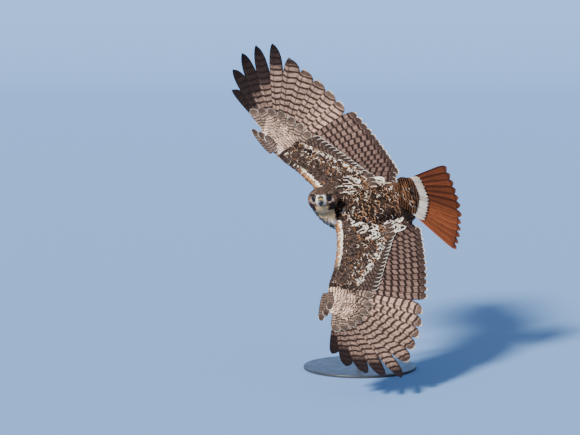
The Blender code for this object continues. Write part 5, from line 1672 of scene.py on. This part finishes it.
# %% Legs
TOES = ((-20.0, 0.030, 1.6), (2.0, 0.036, 1.6), (24.0, 0.030, 1.6), (180.0, 0.022, 1.8))
SHANK_RADII = 0.0048 * np.array([1.0, 1.15, 0.95, 0.92, 1.05, 1.25])
TOE_RADII = 0.0040 * np.array([1.1, 1.1, 0.98, 1.08, 0.9, 0.8])
TALON_LENGTH, TALON_RADII = 0.026, (0.0030, 0.0029, 0.0025, 0.0020, 0.0014, 0.0009, 0.0003)
PAD_RADIUS, PAD_STRETCH = 0.0080, (1.1, 1.0, 0.86)
SHANK_SCUTE, TOE_SCUTE = 0.0042, 0.0034
LEG_YELLOW, SCUTE_SHADE = (0.60, 0.43, 0.10), (0.26, 0.17, 0.05)


def curled(start, flat, turn_from, turn_over, length, steps):
    """A path from start that sets out along flat, turned down by turn_from, and turns on by turn_over."""
    turn = (turn_from + turn_over * (np.arange(steps) + 0.5) / steps)[:, None]
    moves = (np.cos(turn) * flat - np.sin(turn) * np.array([0.0, 0.0, 1.0])) * length / steps
    return np.concatenate([start[None], start + np.cumsum(moves, 0)])


def scaly_tube(path, radii, pitch):
    """A tube with a saw-toothed wave of scutes along it, and its colours: shaded in the grooves."""
    run = np.concatenate([[0.0], np.cumsum(np.linalg.norm(np.diff(path, axis=0), axis=1))])
    at = np.linspace(0.0, run[-1], max(int(run[-1] / pitch * 8), 12))
    fine = np.stack([np.interp(at, run, path[:, i]) for i in range(3)], 1)
    for _ in range(6):
        fine[1:-1] = 0.5 * fine[1:-1] + 0.25 * (fine[:-2] + fine[2:])
    radius = np.interp(at / run[-1], np.linspace(0, 1, len(radii)), radii)
    tooth = (at / pitch) % 1.0
    groove = np.exp(-((np.minimum(tooth, 1 - tooth) / 0.14) ** 2))
    grid = tube_grid(fine, radius * (1.02 + 0.05 * tooth - 0.10 * groove), sides=32)
    return grid, blended(groove, LEG_YELLOW, SCUTE_SHADE)[:, None]


def make_leg(side):
    """Shank, toes with pads, and claws of one foot."""
    way = WAYS[side]
    heel, foot = mirrored(HEEL, way), mirrored(FOOT, way)
    shank, colour = scaly_tube(heel + (foot - heel) * np.linspace(-0.10, 1.0, 24)[:, None],
                               SHANK_RADII, SHANK_SCUTE)
    painted_tubes(f"shank_scales_{side}", [shank], [colour], SKIN_FINISH, [f"shank_{side}"])
    grids, colours = [], []
    for number, (yaw, length, curl) in enumerate(TOES, 1):
        flat = np.array([-math.cos(math.radians(yaw)), way * math.sin(math.radians(yaw)), 0.0])
        path = curled(foot + flat * 0.002, flat, 0.0, curl, length, 5)
        grid, colour = scaly_tube(path, TOE_RADII, TOE_SCUTE)
        grids.append(grid)
        colours.append(colour)
        claw = curled(path[-1] - (path[-1] - path[-2]) * 0.2, flat, curl, 1.5, TALON_LENGTH, 6)
        claw = smooth_table(claw, 5)
        radii = np.interp(np.linspace(0, 6, len(claw)), range(7), TALON_RADII)
        painted_tubes(f"claw_{side}_{number}", [tube_grid(claw, radii, sides=24)], [BILL_DARK], HORN_FINISH,
                      [f"talon_{side}_{number}"])
    pad = ball_grid(foot, PAD_RADIUS, (1.0, 0.0, 0.0), rings=20, sides=32)
    grids.append(foot + (pad - foot) * PAD_STRETCH)
    return painted_tubes(f"toes_{side}", grids, colours + [LEG_YELLOW], SKIN_FINISH, [f"foot_{side}"])


for side in WAYS:
    make_leg(side)

# %% [markdown]
# The stand is turned steel: a flat round base with an eased edge and one rod up into the belly.

# %% Stand
BASE_RADIUS, BASE_THICKNESS, BASE_BEVEL, ROD_RADIUS, ROD_SPAN = 0.170, 0.008, 0.0020, 0.007, (0.0083, 0.432)


def turned(profile, sides):
    """Rings of a turned part from (radius, height) pairs, in world coordinates."""
    t = circle(sides)
    radius, height = np.array(profile).T[:, :, None]
    return np.stack([radius * np.cos(t), radius * np.sin(t), height + 0.0 * t], -1)


def steel_material():
    """Dark satin lacquer on steel, with faint turning marks in its roughness."""
    made, w, shader = new_material("steel", 0.4, metallic=0.6)
    w.feed(shader.inputs["Roughness"], w.ramp(w.noise(60.0, 3.0), 0.2, 0.8, 0.34, 0.48))
    w.feed(shader.inputs["Base Color"], w.mix(w.noise(25.0), (0.060, 0.062, 0.066), (0.085, 0.088, 0.094)))
    return made


def make_stand():
    """Base and rod."""
    r, top, c = BASE_RADIUS, BASE_THICKNESS, BASE_BEVEL
    edge = [(r - c + c * math.cos(a), top - c + c * math.sin(a)) for a in np.linspace(0.0, math.pi / 2, 7)]
    base = [(r - 0.001, 0.0), (r, 0.001)] + edge + [(r * 0.5, top), (0.012, top)]
    rod = [(ROD_RADIUS, z) for z in np.linspace(*ROD_SPAN, 12)]
    steel = steel_material()
    for name, node, shape in (("stand_plate", "stand_base", turned(base, 160)),
                              ("stand_post", "stand_rod", turned(rod, 48))):
        points, quads, fans = closed_tube(shape)
        dress(mesh_piece(name, points, [quads, fans], 40.0), steel, [node])


make_stand()

# %% [markdown]
# The stage: one pale sheet for floor and backdrop with a wide bend between them, a large warm light from the
# upper left as the sun in the photo, and soft light from all round.

# %% Stage and light
SHEET_BLUE, SKY_BLUE, SKY_STRENGTH = (0.20, 0.36, 0.66, 1.0), (0.80, 0.88, 1.0, 1.0), 0.42
SUN_STRENGTH, SUN_SPREAD, SUN_COLOUR, SUN_TURN = 7.2, 10.0, (1.0, 0.95, 0.88), (40.0, -40.0, 0.0)


def stage_sheet():
    """A floor that bends up into a backdrop: straight, then a quarter circle, then straight."""
    bend = np.linspace(0.0, math.pi / 2, 40)
    y = np.concatenate([[-14.0, 0.0, 3.0], 8.0 + 4.0 * np.sin(bend), [12.0]])
    z = np.concatenate([[0.0, 0.0, 0.0], 4.0 - 4.0 * np.cos(bend), [12.0]])
    grid = abreast(np.array([-16.0, 0.0, 16.0]), y[:, None], z[:, None])
    faces = squares(np.arange(3 * len(y)).reshape(-1, 3))[:, [0, 3, 2, 1]]
    sheet = mesh_piece("floor_sheet", grid.reshape(-1, 3), [faces])
    made, w, shader = new_material("floor", 0.95, specular_ior_level=0.1)
    w.feed(shader.inputs["Base Color"], SHEET_BLUE)
    sheet.data.materials.append(made)


def lights():
    """A sun with a broad disc for the key, and a plain pale sky."""
    key = bpy.data.lights.new("key", "SUN")
    key.energy, key.angle, key.color = SUN_STRENGTH, math.radians(SUN_SPREAD), SUN_COLOUR
    sun = bpy.data.objects.new("key", key)
    sun.rotation_euler = [math.radians(angle) for angle in SUN_TURN]
    bpy.context.scene.collection.objects.link(sun)
    world = bpy.data.worlds.new("soft_sky")
    bpy.context.scene.world = world
    world.use_nodes = True
    sky = world.node_tree.nodes["Background"]
    sky.inputs["Color"].default_value, sky.inputs["Strength"].default_value = SKY_BLUE, SKY_STRENGTH


stage_sheet()
lights()
